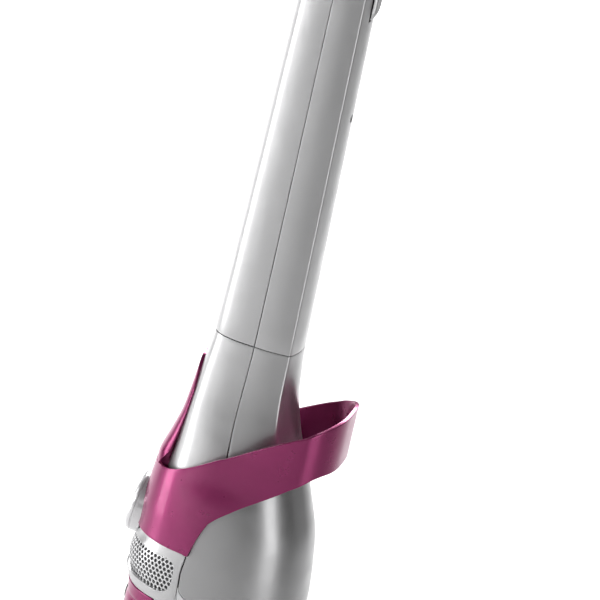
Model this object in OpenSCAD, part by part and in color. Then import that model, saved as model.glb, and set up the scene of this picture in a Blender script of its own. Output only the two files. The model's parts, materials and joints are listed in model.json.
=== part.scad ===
// Upright cordless stick vacuum with a carry ring round the neck of its body.
// +Z is up, -Y is the front, the user stands behind at +Y. Origin on the floor.

/* [Overall] */
// height of the body, from its swivel hub to the seam under the tube
body_h = 440; // [366:1:530]
// width of the body at its widest
body_w = 120; // [105:1:144]
// depth of the body, front to back
body_d = 168; // [150:1:200]
// length of the tube and handle above the seam
tube_h = 540; // [450:1:640]
// width of the floor head
head_w = 250; // [210:1:300]

/* [Shells] */
// wall thickness of the moulded shells
wall = 2.6; // [2:0.1:3.2]
// gap between neighbouring shells
gap = 0.8; // [0.5:0.1:1.2]
// thickness of the carry ring
ring_t = 3.6; // [3:0.1:4.4]
// height of the ring at the back, where the fingers go
ring_h = 50; // [44:1:58]

/* [Floor head] */
// radius of the rear wheels
wheel_r = 22; // [18:0.5:26]
// radius over the tips of the bristles
brush_r = 20.5; // [18:0.5:21]
// radius of the tilt pin
pin_r = 6; // [5:0.5:7]
// radius of the yoke's neck, which the body swivels on
neck_r = 20; // [18:0.5:22]

/* [Body parts] */
// radius of the suction motor
motor_r = 35; // [30:1:38]
// radius of the dust bin
bin_r = 36; // [30:1:38]
// radius of one battery cell
cell_r = 9.1; // [8:0.1:9.6]
// radius of the charging plug's hole
socket_r = 2.9; // [2.7:0.1:3.4]
// radius of the round indicator
lens_r = 26; // [21.5:0.5:28]
// radial clearance of pins and hubs
run = 0.05; // [0.02:0.01:0.1]

/* [Hidden] */
$fa = 6;
$fs = 0.6;
kx = body_w / 120;
ky = body_d / 168;
kz = body_h / 440;
kt = tube_h / 540;
km = min(kx, ky);
hub_z = 150;
seam_z = hub_z + body_h;
pivot_u = -12;
pivot_z = 58;
hub_u = -25;
head_front = -128;
head_back = 50;
bumper_t = 2.1;
ring_back = 62;
// the origin is under the middle of the whole object, front to back
mid_y = (head_front + 30 - bumper_t + (ring_back + 30) * ky) / 2;
axle_u = 24;
axle_z = wheel_r;
motor_u = -25;
bin_u = -46;

function yb(u) = (u + 30) * ky - mid_y;
function yh(u) = u + 30 - mid_y;
function zw(w) = w <= 0 ? hub_z + (w + 440) * kz : seam_z + w * kt;
function clamp(v) = max(0, min(1, v));
function ease(lo, hi, v) = let (s = clamp((v - lo) / (hi - lo))) s * s * (3 - 2 * s);
function mix(p, q, s) = p * (1 - s) + q * s;
function power(v, e) = sign(v) * pow(abs(v), e);
function knot(t, v, i = 0) = i >= len(t) - 2 || v < t[i + 1][0] ? i : knot(t, v, i + 1);
function slope(t, i, c) = let (p = max(i - 1, 0), q = min(i + 1, len(t) - 1))
  (t[q][c] - t[p][c]) / (t[q][0] - t[p][0]);
function curve(t, v, c) = let (
    i = knot(t, v), h = t[i + 1][0] - t[i][0], s = clamp((v - t[i][0]) / h),
    a = t[i][c], b = t[i + 1][c], m = slope(t, i, c) * h, n = slope(t, i + 1, c) * h)
  a + s * (m + s * (3 * (b - a) - 2 * m - n + s * (2 * (a - b) + m + n)));

// body sections: height, front, middle, back, half width
body_rows = [
  [-440, -64, -24, 20, 35], [-420, -74, -24, 26, 37.5], [-400, -82, -24, 32, 40],
  [-380, -88, -25, 38, 44.5], [-360, -92.5, -25, 43, 48.5], [-330, -96, -25, 49, 53.5],
  [-300, -98.5, -25, 54, 57], [-268, -98, -26, 57, 59.5], [-252, -98.5, -26, 57.3, 60],
  [-240, -103.5, -27, 57.2, 60], [-227, -107.3, -27, 57, 60], [-213, -106, -28, 56, 59.8],
  [-198, -99.5, -28, 54.5, 59], [-170, -98.3, -29, 50.5, 56.5], [-145, -96.3, -30, 42.5, 53.5],
  [-124, -94, -32, 35, 50], [-90, -91, -34, 22, 46]];
// neck, tube and handle sections: height, front, middle, crease, half width, crease half width, back
tube_rows = [
  [-150, -91, -34, 32, 47, 45, 44], [-137, -89, -33, 27, 45.5, 43, 40],
  [-124, -87.5, -32, 22, 44, 41, 35], [-102, -84.5, -31.5, 12, 40.5, 37, 26.5],
  [-79, -81.5, -32.5, 6, 36.5, 32.5, 18], [-52, -79, -32.7, 2, 32.5, 28.5, 10.5],
  [-25, -76.5, -32.3, 0.5, 29.7, 26, 7], [0, -74, -32, 0, 28, 24.5, 5],
  [346, -67.5, -34, -6.5, 24, 21, -1.5], [405, -66, -34.3, -7.6, 23.4, 20.5, -2.6],
  [440, -58, -30, -5.5, 22.2, 19.5, -1], [480, -41, -17, 5, 20, 18, 9],
  [520, -20, 2, 21, 18, 16, 25], [540, -9, 13, 31, 17, 15, 35]];

function loop_at(a, f, m, r, h, n, off) = let (c = cos(a), s = sin(a), e = 2 / n)
  [(h * kx + off) * power(s, e),
   c > 0 ? yb(m) - ((m - f) * ky + off) * power(c, e) : yb(m) + ((r - m) * ky + off) * power(-c, e)];
function body_at(a, w, off) = let (
    p = loop_at(a, curve(body_rows, w, 1), curve(body_rows, w, 2), curve(body_rows, w, 3),
      curve(body_rows, w, 4), 2.35, off)) [p[0], p[1], zw(w)];
// half section of the tube, with a crease at 150 degrees and a bowed back face
function tube_half(b, f, g, r, h, k, t, off) =
  b <= 90 ? [(h * kx + off) * power(sin(b), 0.62), yb(g) - ((g - f) * ky + off) * power(cos(b), 0.62)]
  : b <= 150 ? let (s = (b - 90) / 60)
      [mix(h * kx, k * kx, s) + off + 1.3 * sin(180 * s), mix(yb(g), yb(r), s) + off * s]
  : let (s = (180 - b) / 30) [(k * kx + off) * s, mix(yb(t), yb(r), s * s) + off];
function tube_at(a, w, off) = let (
    b = a <= 180 ? a : 360 - a, f = curve(tube_rows, w, 1), g = curve(tube_rows, w, 2),
    r = curve(tube_rows, w, 3), h = curve(tube_rows, w, 4), k = curve(tube_rows, w, 5),
    t = curve(tube_rows, w, 6), p = tube_half(b, f, g, r, h, k, t, off),
    q = loop_at(b, f, g, t, h, 2.5, off), s = ease(-125, -66, w) * (1 - ease(410, 450, w)),
    m = mix(q, p, s))
  [a <= 180 ? m[0] : -m[0], m[1], zw(w)];

// closed solid between an outer and an inner grid of points
module slab(outer, inner, round = false) {
  na = len(outer);
  nz = len(outer[0]);
  last = round ? na - 1 : na - 2;
  function at(i, j, k) = k * na * nz + (i % na) * nz + j;
  function quad(p) = [[p[0], p[1], p[2]], [p[0], p[2], p[3]]];
  skin = [for (i = [0 : last], j = [0 : nz - 2])
    each quad([at(i, j, 0), at(i, j + 1, 0), at(i + 1, j + 1, 0), at(i + 1, j, 0)])];
  back = [for (i = [0 : last], j = [0 : nz - 2])
    each quad([at(i, j, 1), at(i + 1, j, 1), at(i + 1, j + 1, 1), at(i, j + 1, 1)])];
  low = [for (i = [0 : last])
    each quad([at(i, 0, 0), at(i + 1, 0, 0), at(i + 1, 0, 1), at(i, 0, 1)])];
  high = [for (i = [0 : last])
    each quad([at(i, nz - 1, 0), at(i, nz - 1, 1), at(i + 1, nz - 1, 1), at(i + 1, nz - 1, 0)])];
  ends = round ? [] : [for (j = [0 : nz - 2])
    each concat(quad([at(0, j, 0), at(0, j, 1), at(0, j + 1, 1), at(0, j + 1, 0)]),
      quad([at(na - 1, j, 0), at(na - 1, j + 1, 0), at(na - 1, j + 1, 1), at(na - 1, j, 1)]))];
  polyhedron(concat([for (r = outer) each r], [for (r = inner) each r]),
    concat(skin, back, low, high, ends), convexity = 8);
}

// solid lofted through a list of closed loops, bottom first
module loft(loops) {
  n = len(loops[0]);
  m = len(loops);
  side = [for (k = [0 : m - 2], i = [0 : n - 1]) let (j = (i + 1) % n)
    each [[k * n + i, (k + 1) * n + i, (k + 1) * n + j], [k * n + i, (k + 1) * n + j, k * n + j]]];
  polyhedron([for (l = loops) each l], concat(side,
    [[for (i = [0 : n - 1]) i]], [[for (i = [n - 1 : -1 : 0]) (m - 1) * n + i]]), convexity = 6);
}

function steps(lo, hi, n) = [for (i = [0 : n]) lo + (hi - lo) * i / n];
function grid(angles, n, lo, hi, shape, off) = [for (a = angles)
  [for (s = steps(0, 1, n)) shape(a, mix(lo(a), hi(a), s), off)]];

module patch(angles, n, lo, hi, shape, outer = 0, inner = -wall, round = false) {
  slab(grid(angles, n, lo, hi, shape, outer), grid(angles, n, lo, hi, shape, inner), round);
}

body_skin = function (a, w, off) body_at(a, w, off);
tube_skin = function (a, w, off) tube_at(a, w, off);
function level(w) = function (a) w;

// the carry ring: hugs the body in front, stands free of the neck at the back
// upper and lower edge: angle from the front and height
rim_rows = [[0, -135.5], [15, -134.2], [30, -132.8], [45, -130.2], [60, -124.1], [75, -114.5],
  [90, -101.8], [100, -90.1], [110, -75.7], [120, -63.5], [130, -56.1], [140, -51.7],
  [150, -48.1], [165, -45], [180, -44]];
hem_rows = [[78, -195.5], [81.9, -196], [82.4, -193.9], [84, -184.5], [86, -174], [88, -165],
  [90, -157.6], [93, -151.1], [97, -145.7], [102, -138.7], [108, -130.3], [115, -120.2],
  [122, -110.6], [130, -104], [140, -97.8], [152, -94.5], [180, -93]];
function rim_w(a) = curve(rim_rows, a <= 180 ? a : 360 - a, 1);
function hem_w(a) = let (b = a <= 180 ? a : 360 - a, w = curve(hem_rows, b, 1))
  w - (ring_h - 50) * ease(90, 130, b) / kz;
function ring_at(a, w, off) = let (
    b = a <= 180 ? a : 360 - a, near = body_at(b, w, off + 0.4 + ring_t),
    far = loop_at(b, -101, -20, ring_back, 55, 3, off), s = ease(88, 128, b))
  [(a <= 180 ? 1 : -1) * mix(near[0], far[0], s), mix(near[1], far[1], s), zw(w)];
ring_skin = function (a, w, off) ring_at(a, w, off);
ring_rim = function (a) rim_w(a);
ring_hem = function (a) hem_w(a);

around = [for (i = [0 : 47]) i * 7.5];
ring_half = [0, 8, 16, 24, 32, 40, 48, 56, 64, 72, 78, 82, 83, 84.5, 86, 88, 90.5, 94, 98, 103, 108, 114,
  120, 126, 132, 138, 144, 152, 162, 171];
ring_angles = concat(ring_half, [180], [for (i = [len(ring_half) - 1 : -1 : 1]) 360 - ring_half[i]]);
function mirrored(list) = concat([for (i = [len(list) - 1 : -1 : 1]) -list[i]], list);

module carry_ring() color([0.5, 0.13, 0.33]) difference() {
  patch(ring_angles, 6, ring_hem, ring_rim, ring_skin, 0, -ring_t, true);
  lens_hole();
}

// raised front panel of the neck, meeting the rim of the ring below
spine_half = [0, 5, 10, 15, 20, 24, 27];
spine_rows = [[-140, 12.8], [-122, 10], [-102, 6.6], [-79, 3.8], [-32, 3]];
module front_spine() color([0.45, 0.1, 0.3])
  patch([for (a = mirrored(spine_half)) a + 360], 14,
    function (a) rim_w(abs(a - 360)) + gap,
    function (a) -30 - 30 * pow(min(abs(a - 360), 27) / 27, 2.4),
    function (a, w, off) let (b = abs(a - 360) / 27, r = curve(spine_rows, w, 1))
      tube_at(a % 360, w, off < 0 ? 0.4 + r * 0.3 * (1 - b * b) : r * (1 - 0.62 * b * b * b)),
    0, -3.4);

neck_foot = function (a) let (b = a <= 180 ? a : 360 - a)
  b < 100 ? -136 : mix(-136, -108, ease(100, 130, b));
front_half = [0, 2.5, 7, 13, 20, 29, 40, 51, 62, 71, 78.5, 84.5, 88, 89.5, 89.95];
rear_angles = [90.4, 101, 111, 121, 131, 141, 150, 158, 167, 180, 193, 202, 210, 219, 229, 239, 249, 259, 269.6];

module neck_front() color([0.72, 0.73, 0.74])
  patch([for (a = mirrored(front_half)) a + 360], 10, neck_foot_front, level(-0.3), neck_wrap);
neck_foot_front = function (a) -136;
neck_wrap = function (a, w, off) tube_at(a >= 360 ? a - 360 : a, w, off);

module neck_rear() color([0.7, 0.71, 0.72])
  patch(rear_angles, 11, neck_foot, level(-0.3), tube_skin);

module tube_front() color([0.75, 0.76, 0.77])
  patch([for (a = mirrored(front_half)) a + 360], 4, level(0.3), level(404), neck_wrap);

module tube_rear() color([0.72, 0.73, 0.74]) difference() {
  patch(rear_angles, 4, level(0.3), level(404), tube_skin);
  translate([0, yb(0), zw(223)]) rotate([-90, 0, 0]) cylinder(r = 3.4, h = 40, center = true);
  slide_well(0.4);
}

// pocket in the back of the tube for the release slide
module slide_well(room) translate([-9 - room, yb(-20), zw(316) - room])
  cube([18 + 2 * room, 60, 50 * kt + 2 * room + 6]);

module release_slide() color([0.7, 0.71, 0.72]) {
  y = tube_at(180, 340, 0)[1];
  difference() {
    translate([0, 0, zw(318)]) {
      translate([-8.6, y - 7, 0]) cube([17.2, 9, 48 * kt]);
      translate([-8.6, y, 12]) rotate([0, 90, 0]) cylinder(r = 5.6, h = 17.2);
      translate([-8.6, y, 12]) cube([17.2, 5.6, 48 * kt - 24]);
      translate([-8.6, y, 48 * kt - 12]) rotate([0, 90, 0]) cylinder(r = 5.6, h = 17.2);
    }
    for (x = [-4.4, 0, 4.4]) translate([x - 0.9, y + 3.4, zw(318) + 10]) cube([1.8, 6, 48 * kt - 20]);
  }
}

module release_spring() color([0.6, 0.6, 0.6])
  translate([0, tube_at(180, 340, 0)[1] - 13, zw(318) + 48 * kt + 2]) difference() {
    cylinder(r = 3, h = 22);
    translate([0, 0, -1]) cylinder(r = 2.2, h = 24);
  }

module latch_bar() color([0.55, 0.56, 0.58])
  translate([-4, tube_at(180, 340, 0)[1] - 11.6, zw(250)]) cube([8, 2.4, zw(330) - zw(250)]);

module tube_screw() color([0.5, 0.5, 0.52]) {
  y = tube_at(180, 223, 0)[1];
  translate([0, y - 6, zw(223)]) rotate([90, 0, 0]) difference() {
    union() {
      cylinder(r = 2.9, h = 2.6);
      cylinder(r = 1.4, h = 14);
    }
    translate([-2, -0.35, -1]) cube([4, 0.7, 2]);
    translate([-0.35, -2, -1]) cube([0.7, 4, 2]);
  }
}

// inner frame of the tube, with the boss the screw goes into and the wires' channel
module tube_core() color([0.16, 0.16, 0.17]) {
  y = tube_at(180, 223, 0)[1];
  difference() {
    translate([0, yb(-40), zw(-60)]) cylinder(r = 10, h = zw(395) - zw(-60));
    translate([0, yb(-40), zw(-60) - 1]) cylinder(r = 8, h = zw(395) - zw(-60) + 2);
  }
  difference() {
    translate([0, y - 9, zw(223)]) rotate([90, 0, 0]) cylinder(r = 4.2, h = y - 9 - yb(-31));
    translate([0, y, zw(223)]) rotate([90, 0, 0]) cylinder(r = 1.45, h = 26);
  }
}

// sleeve that joins the tube to the neck across the seam
module seam_sleeve() color([0.2, 0.2, 0.21]) difference() {
  translate([-19 * kx, yb(-56), seam_z - 30]) cube([38 * kx, 52 * ky, 60]);
  translate([-16 * kx, yb(-53), seam_z - 31]) cube([32 * kx, 46 * ky, 62]);
}

handle_front_half = [0, 5, 12, 21, 32, 45, 58, 70, 80, 86.5, 89.6];
handle_rear_angles = [for (i = [0 : 14]) 90.4 + i * 179.2 / 14];
module handle_front() color([0.74, 0.75, 0.76]) difference() {
  patch([for (a = mirrored(handle_front_half)) a + 360], 7, level(404.8), level(534), neck_wrap);
  translate([0, yb(-60), zw(434)]) rotate([12, 0, 0]) cube([13.4, 60, 30.8], center = true);
  boost_place() cylinder(r = 5.4, h = 60, center = true);
}
module handle_rear() color([0.3, 0.3, 0.31])
  patch(handle_rear_angles, 7, level(404.8), level(534), tube_skin);

grip_angles = [for (i = [0 : 16]) 100 + i * 10];
module soft_grip() color([0.08, 0.08, 0.085])
  patch(grip_angles, 9, level(428), level(524), tube_skin, 2.6, 0.7);

module handle_cap() color([0.5, 0.13, 0.33])
  loft([for (s = [0, 0.35, 0.65, 0.85, 0.97, 1]) let (
      k = sqrt(1 - s * s * 0.96), c = [0, (tube_at(0, 540, 0)[1] + tube_at(180, 540, 0)[1]) / 2, zw(534.6)])
    [for (a = around) let (p = tube_at(a, 535, 0))
      [k * p[0], c[1] + 5 * s + k * (p[1] - c[1]), c[2] + 15 * s]]]);

module power_slider() color([0.12, 0.12, 0.13]) {
  y = tube_at(0, 434, 0)[1];
  translate([0, y, zw(434)]) rotate([12, 0, 0]) {
    translate([-6, -2.6, -12]) cube([12, 7.6, 24]);
    for (i = [-3 : 3]) translate([-6, -2.6, i * 3]) rotate([0, 90, 0]) cylinder(r = 0.9, h = 12);
  }
}
// the boost button sits square to the front of the handle
module boost_place() translate(tube_at(0, 469, 0)) rotate([-113, 0, 0]) children();
module boost_button() color([0.5, 0.13, 0.33])
  boost_place() translate([0, 0, -2.2]) cylinder(r = 5, h = 8);
module switch_board() color([0.1, 0.3, 0.16])
  translate([-9, yb(-36), zw(412)]) cube([18, 1.6, 44 * kt]);

// side and back shell of the body
shell_half = [80.9, 81.6, 82.6, 84.4, 86.6, 89.5, 93, 99, 107, 116, 126, 137, 148, 159, 170, 180];
shell_angles = concat(shell_half, [for (i = [len(shell_half) - 2 : -1 : 0]) 360 - shell_half[i]]);
shell_top = function (a) let (b = a <= 180 ? a : 360 - a)
  b < 82.2 ? -197 : b < 100 ? hem_w(b) + 6 * ease(82, 86, b) : mix(hem_w(100) + 6, -109, ease(100, 135, b));
shell_low = function (a) let (b = a <= 180 ? a : 360 - a)
  -228 - 15 * sqrt(clamp((b - 80.8) / 13)) - 62 * ease(94, 180, b);
module rear_shell() color([0.68, 0.69, 0.71])
  patch(shell_angles, 12, shell_low, shell_top, body_skin);

// pale frame of the outlet vent, under the ring
frame_half = [0, 8, 16, 24, 32, 40, 48, 56, 63, 70, 76, 80.1];
frame_angles = [for (a = mirrored(frame_half)) a + 360];
frame_low = function (a) -248;
body_wrap = function (a, w, off) body_at(a >= 360 ? a - 360 : a, w, off);
module vent_frame() color([0.82, 0.83, 0.84]) difference() {
  patch(frame_angles, 8, frame_low, level(-196.7), body_wrap, 0.4, -wall);
  vent_window(0);
  lens_hole();
}
window_half = [0, 10, 20, 30, 40, 50, 58, 65, 70, 73.5, 75.5, 76.5];
module vent_window(room) patch([for (a = mirrored(window_half)) a + 360], 3,
  function (a) let (b = abs(a - 360)) -239.5 + 12 * (1 - sqrt(1 - pow(clamp((b - 64) / 12.6), 2))) - room,
  function (a) let (b = abs(a - 360)) -203.5 - 2 * ease(20, 60, b) - 8 * (1 - sqrt(1 - pow(clamp((b - 68) / 8.6), 2))) + room,
  body_wrap, 6, -8);
module vent_mesh() color([0.62, 0.63, 0.64]) difference() {
  patch([for (i = [-8 : 8]) 360 + i * 9.3], 4, level(-246), level(-199), body_wrap, -wall - 0.4, -wall - 1.8);
  for (r = [-3 : 3], i = [-11 : 11]) vent_hole(r, i);
  lens_hole();
}
module vent_hole(r, i) {
  a = (i + (r % 2 == 0 ? 0 : 0.5)) * 6.4;
  p = body_at(a < 0 ? a + 360 : a, -221 + r * 4.8, 0);
  if (abs(a) < 73) translate(p) rotate([90, 0, a]) cylinder(r = 1.7, h = 16, center = true, $fn = 6);
}

// lower shell round the dust bin, open at the front
lower_half = concat([63, 70, 76, 80.2, 80.5], shell_half);
lower_angles = concat(lower_half, [for (i = [len(lower_half) - 2 : -1 : 0]) 360 - lower_half[i]]);
lower_top = function (a) let (b = a <= 180 ? a : 360 - a)
  b < 80.3 ? -248.6 : shell_low(b) - gap;
module lower_shell() color([0.8, 0.81, 0.82]) difference() {
  union() {
    patch(lower_angles, 9, level(-430), lower_top, body_skin);
    patch(around, 1, level(-440), level(-428.4), body_skin, 0, -wall, true);
  }
  socket_axis() cylinder(r = 6.2, h = 60, center = true);
}

// front cover of the dust bin
cover_half = [0, 8, 16, 24, 32, 40, 48, 55, 62];
module bin_cover() color([0.5, 0.13, 0.33]) difference() {
  patch([for (a = mirrored(cover_half)) a + 360], 11, level(-427.6), level(-248.6), body_wrap, 1.2, -wall + 1.2);
  button_place() cylinder(r = 7.5, h = 30, center = true);
}

// round indicator on the front
module lens_place() translate([0, yb(-104.5), zw(-186)]) rotate([84, 0, 0]) children();
module lens_hole() lens_place() cylinder(r = lens_r + 2.4, h = 30, center = true);
module lens_ring() color([0.85, 0.86, 0.87]) lens_place() rotate_extrude()
  polygon([[lens_r - 3.2, -8], [lens_r + 2, -8], [lens_r + 2, 3], [lens_r + 0.6, 5.4], [lens_r - 1.4, 6],
    [lens_r - 3.2, 4.6]]);
module lens_glass() color([0.85, 0.9, 0.92, 0.5]) lens_place() rotate_extrude()
  polygon([[0, 2.4], [lens_r - 3.5, 2.4], [lens_r - 3.5, 5], [lens_r - 7, 7], [lens_r - 13, 8.6], [0, 9.4]]);
module lens_board() color([0.08, 0.08, 0.09]) lens_place() translate([0, 0, -1.6])
  cylinder(r = lens_r - 3.6, h = 1.6);

// suction motor, fan and outlet
module motor_place(w) translate([0, yb(motor_u), zw(w)]) children();
module suction_motor() color([0.5, 0.5, 0.52]) difference() {
  union() {
    motor_place(-222) cylinder(r = motor_r * km, h = 62 * kz);
    motor_place(-160) cylinder(r = 15 * km, h = 8 * kz);
  }
  motor_place(-223) cylinder(r = 3 + run, h = 80 * kz);
  for (i = [0 : 7]) motor_place(-176) rotate([0, 0, i * 45])
    translate([motor_r * km, 0, 0]) cube([12, 7, 14 * kz], center = true);
}
module fan_wheel() color([0.2, 0.2, 0.22]) {
  motor_place(-246) {
    cylinder(r = 33 * km, h = 2);
    cylinder(r = 8 * km, h = 12 * kz);
    for (i = [0 : 8]) rotate([0, 0, i * 40]) translate([7 * km, -0.8, 0]) cube([25 * km, 1.6, 11 * kz]);
  }
  motor_place(-246) cylinder(r = 3, h = 80 * kz);
}
module fan_housing() color([0.15, 0.15, 0.16]) difference() {
  motor_place(-252) cylinder(r = 40 * km, h = 26 * kz);
  motor_place(-249) cylinder(r = 37 * km, h = 30 * kz);
  motor_place(-253) cylinder(r = 14 * km, h = 10 * kz);
}
module motor_mount() color([0.07, 0.07, 0.07]) difference() {
  motor_place(-212) cylinder(r = 40 * km, h = 16 * kz);
  motor_place(-213) cylinder(r = motor_r * km + 0.3, h = 18 * kz);
}
module main_board() color([0.1, 0.3, 0.16]) translate([-26 * kx, yb(26), zw(-236)])
  cube([52 * kx, 1.6, 70 * kz]);

// battery
module battery_case() color([0.12, 0.12, 0.13]) difference() {
  translate([-29.6 * kx, yb(-8), zw(-340)]) cube([59.2 * kx, 42 * ky, 76 * kz]);
  translate([-28.1 * kx, yb(-6.4), zw(-338.4)]) cube([56.2 * kx, 38.8 * ky, 72 * kz]);
}
module battery_cells() color([0.15, 0.35, 0.55])
  for (x = [-1, 0, 1], y = [-0.5, 0.5])
    translate([x * 2.06 * cell_r * km, yb(13) + y * 2.06 * cell_r * km, zw(-338)])
      cylinder(r = cell_r * km, h = 66 * kz);
module battery_contacts() color([0.8, 0.65, 0.3])
  for (x = [-1, 1]) translate([x * 12 - 3, yb(8), zw(-263.9)]) cube([6, 12, 5]);

// charging socket in the back
socket_w = -366;
module socket_axis() translate([0, body_at(180, socket_w, 0)[1], zw(socket_w)]) rotate([-90, 0, 0]) children();
module charge_socket() color([0.1, 0.1, 0.1]) socket_axis() difference() {
  union() {
    translate([0, 0, -14]) cylinder(r = 5.8, h = 14);
    translate([0, 0, -16]) cylinder(r = 8, h = 8);
  }
  translate([0, 0, -11]) cylinder(r = socket_r, h = 20);
}

// dust bin with its cyclone and filter
module bin_place(w) translate([0, yb(bin_u), zw(w)]) children();
module dust_bin() color([0.75, 0.78, 0.8, 0.45]) difference() {
  bin_place(-384) cylinder(r = bin_r * km, h = 104 * kz);
  bin_place(-381) cylinder(r = bin_r * km - 2, h = 110 * kz);
  bin_place(-385) cylinder(r = 11, h = 8 * kz);
}
module bin_lid() color([0.15, 0.15, 0.16]) difference() {
  bin_place(-279.6) cylinder(r = bin_r * km, h = 12 * kz);
  bin_place(-281) cylinder(r = bin_r * km - 6, h = 8 * kz);
  bin_place(-275) cylinder(r = 16 * km, h = 12 * kz);
}
module cyclone_cone() color([0.3, 0.3, 0.32]) bin_place(-352) difference() {
  rotate_extrude() polygon([[0, 0], [9 * km, 0], [24 * km, 58 * kz], [24 * km, 70 * kz], [0, 70 * kz]]);
  translate([0, 0, 8 * kz]) rotate_extrude()
    polygon([[0, 0], [8 * km, 0], [21.6 * km, 50 * kz], [21.6 * km, 64 * kz], [0, 64 * kz]]);
}
module filter_pleats() color([0.9, 0.9, 0.86]) bin_place(-320) difference() {
  cylinder(r = 13 * km, h = 34 * kz);
  translate([0, 0, -1]) cylinder(r = 7 * km, h = 60 * kz);
}
module bin_seal() color([0.05, 0.05, 0.05]) bin_place(-267) difference() {
  cylinder(r = 24 * km, h = 3 * kz);
  translate([0, 0, -1]) cylinder(r = 18 * km, h = 6 * kz);
}
module bin_button() color([0.2, 0.2, 0.21])
  button_place() translate([0, 0, -6]) cylinder(r = 7, h = 8.6);
module button_place() translate([0, body_at(0, -275, 0)[1], zw(-273)]) rotate([90, 0, 0]) children();

// swivel hub at the bottom of the body and the air duct above it
module hub_place(z) translate([0, yh(hub_u), z]) children();
module swivel_hub() color([0.3, 0.3, 0.31]) difference() {
  union() {
    hub_place(hub_z - 32) cylinder(r = 29, h = 44);
    hub_place(hub_z - 1) cylinder(r = 31.5, h = 9);
  }
  hub_place(hub_z - 33) cylinder(r = neck_r + run, h = 39);
  hub_place(hub_z) cylinder(r = neck_r - 3.5, h = 30);
}
module air_duct() color([0.25, 0.25, 0.26]) difference() {
  hub_place(hub_z + 12.4) cylinder(r = 19, h = zw(-384.6) - hub_z - 12.4);
  hub_place(hub_z + 12) cylinder(r = 16.5, h = zw(-384.6) - hub_z);
}

// tilting yoke
module tilt_yoke() color([0.22, 0.22, 0.23]) difference() {
  union() {
    translate([-30, yh(pivot_u), pivot_z]) rotate([0, 90, 0]) cylinder(r = 25, h = 60);
    hub_place(pivot_z) cylinder(r = neck_r, h = hub_z + 4 - pivot_z);
    translate([-38, yh(pivot_u), pivot_z]) rotate([0, 90, 0]) cylinder(r = pin_r, h = 76);
  }
  translate([-26, yh(pivot_u), pivot_z]) rotate([0, 90, 0]) cylinder(r = 21, h = 52);
  hub_place(pivot_z) cylinder(r = neck_r - 3.5, h = 110);
  translate([-20, yh(pivot_u) - 40, pivot_z - 14]) cube([40, 30, 24]);
}

// floor head
module plan(inset, r = 22) {
  w = head_w - 2 * inset;
  y0 = yh(head_front) + inset;
  d = head_back - head_front - 2 * inset;
  k = r - inset;
  translate([-w / 2 + k, y0]) square([w - 2 * k, d]);
  translate([-w / 2, y0 + k]) square([w, d - 2 * k]);
  for (x = [-1, 1], y = [y0 + k, y0 + d - k]) translate([x * (w / 2 - k), y]) circle(r = k);
}
brush_u = -96;
brush_z = 24;
module along_x(x, u, z, r, len) translate([x, yh(u), z]) rotate([0, 90, 0]) cylinder(r = r, h = len);
module head_base() color([0.16, 0.16, 0.17]) difference() {
  union() {
    translate([0, 0, 8]) linear_extrude(26) plan(1.5);
    for (x = [-1, 1]) translate([x * 37.5 - 6.5, yh(pivot_u) - 14, 30]) cube([13, 28, pivot_z - 30]);
    for (x = [-44, 31]) along_x(x, pivot_u, pivot_z, 14, 13);
  }
  along_x(-head_w / 2 + 18.5, brush_u, brush_z, brush_r + 2.2, head_w - 37);
  translate([-head_w / 2 + 18.5, yh(brush_u) - 18, 0]) cube([head_w - 37, 36, 20]);
  along_x(-head_w / 2 + 14, brush_u, brush_z, 9, head_w - 28);
  belt_tunnel();
  along_x(70, drive_u, drive_z, 5, belt_x - 70);
  for (x = [-1, 1]) {
    translate([x * (head_w / 2 - 37) - 12, yh(axle_u) - wheel_r - 3, 0]) cube([24, 2 * wheel_r + 10, 60]);
    translate([x * 60 - 9, yh(-58) - 12, 0]) cube([18, 24, 22]);
  }
  along_x(-head_w / 2 + 10, axle_u, axle_z, 3 + run, head_w - 20);
  for (x = [-1, 1]) along_x(x * 60 - 14, -58, 9, 2 + run, 28);
  along_x(-50, pivot_u, pivot_z, pin_r + run, 100);
  along_x(-31, pivot_u, pivot_z, 25.5, 62);
  translate([36, yh(-66), 12]) cube([40, 62, 40]);
  translate([-88, yh(-10), 12]) cube([42, 34, 40]);
}
module cover_profile(inset) hull() {
  translate([yh(head_front) + 16, 40]) circle(r = 13 - inset);
  translate([yh(head_front) + 60, 44]) circle(r = 18 - inset);
  translate([yh(10), 44]) circle(r = 15 - inset);
  translate([yh(head_back) - 12, 37]) circle(r = 9 - inset);
}
module cover_solid(inset) intersection() {
  translate([-head_w / 2, 0, 0]) rotate([90, 0, 90]) linear_extrude(head_w) cover_profile(inset);
  translate([0, 0, 34.4]) linear_extrude(60) plan(inset);
}
module head_cover() color([0.5, 0.13, 0.33]) difference() {
  cover_solid(0);
  translate([0, 0, -0.1]) cover_solid(2.4);
  translate([0, 0, 30]) linear_extrude(8) plan(2.4);
  translate([-46, yh(pivot_u) - 34, 30]) cube([92, 120, 60]);
}
module sole_plate() color([0.2, 0.2, 0.21]) difference() {
  translate([0, 0, 5]) linear_extrude(2.7) plan(6);
  translate([-head_w / 2 + 22, yh(brush_u) - 15, 0]) cube([head_w - 44, 30, 12]);
  for (x = [-1, 1]) {
    translate([x * (head_w / 2 - 37) - 13, yh(axle_u) - wheel_r - 4, 0]) cube([26, 2 * wheel_r + 12, 12]);
    translate([x * 60 - 14, yh(-58) - 13, 0]) cube([28, 26, 12]);
  }
}
module bumper() color([0.05, 0.05, 0.05]) difference() {
  translate([0, 0, 16]) linear_extrude(8) difference() {
    translate([0, 0.3 - bumper_t]) plan(-0.3);
    plan(1.2);
  }
  translate([-head_w, yh(-70), 0]) cube([2 * head_w, 300, 60]);
}
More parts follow.
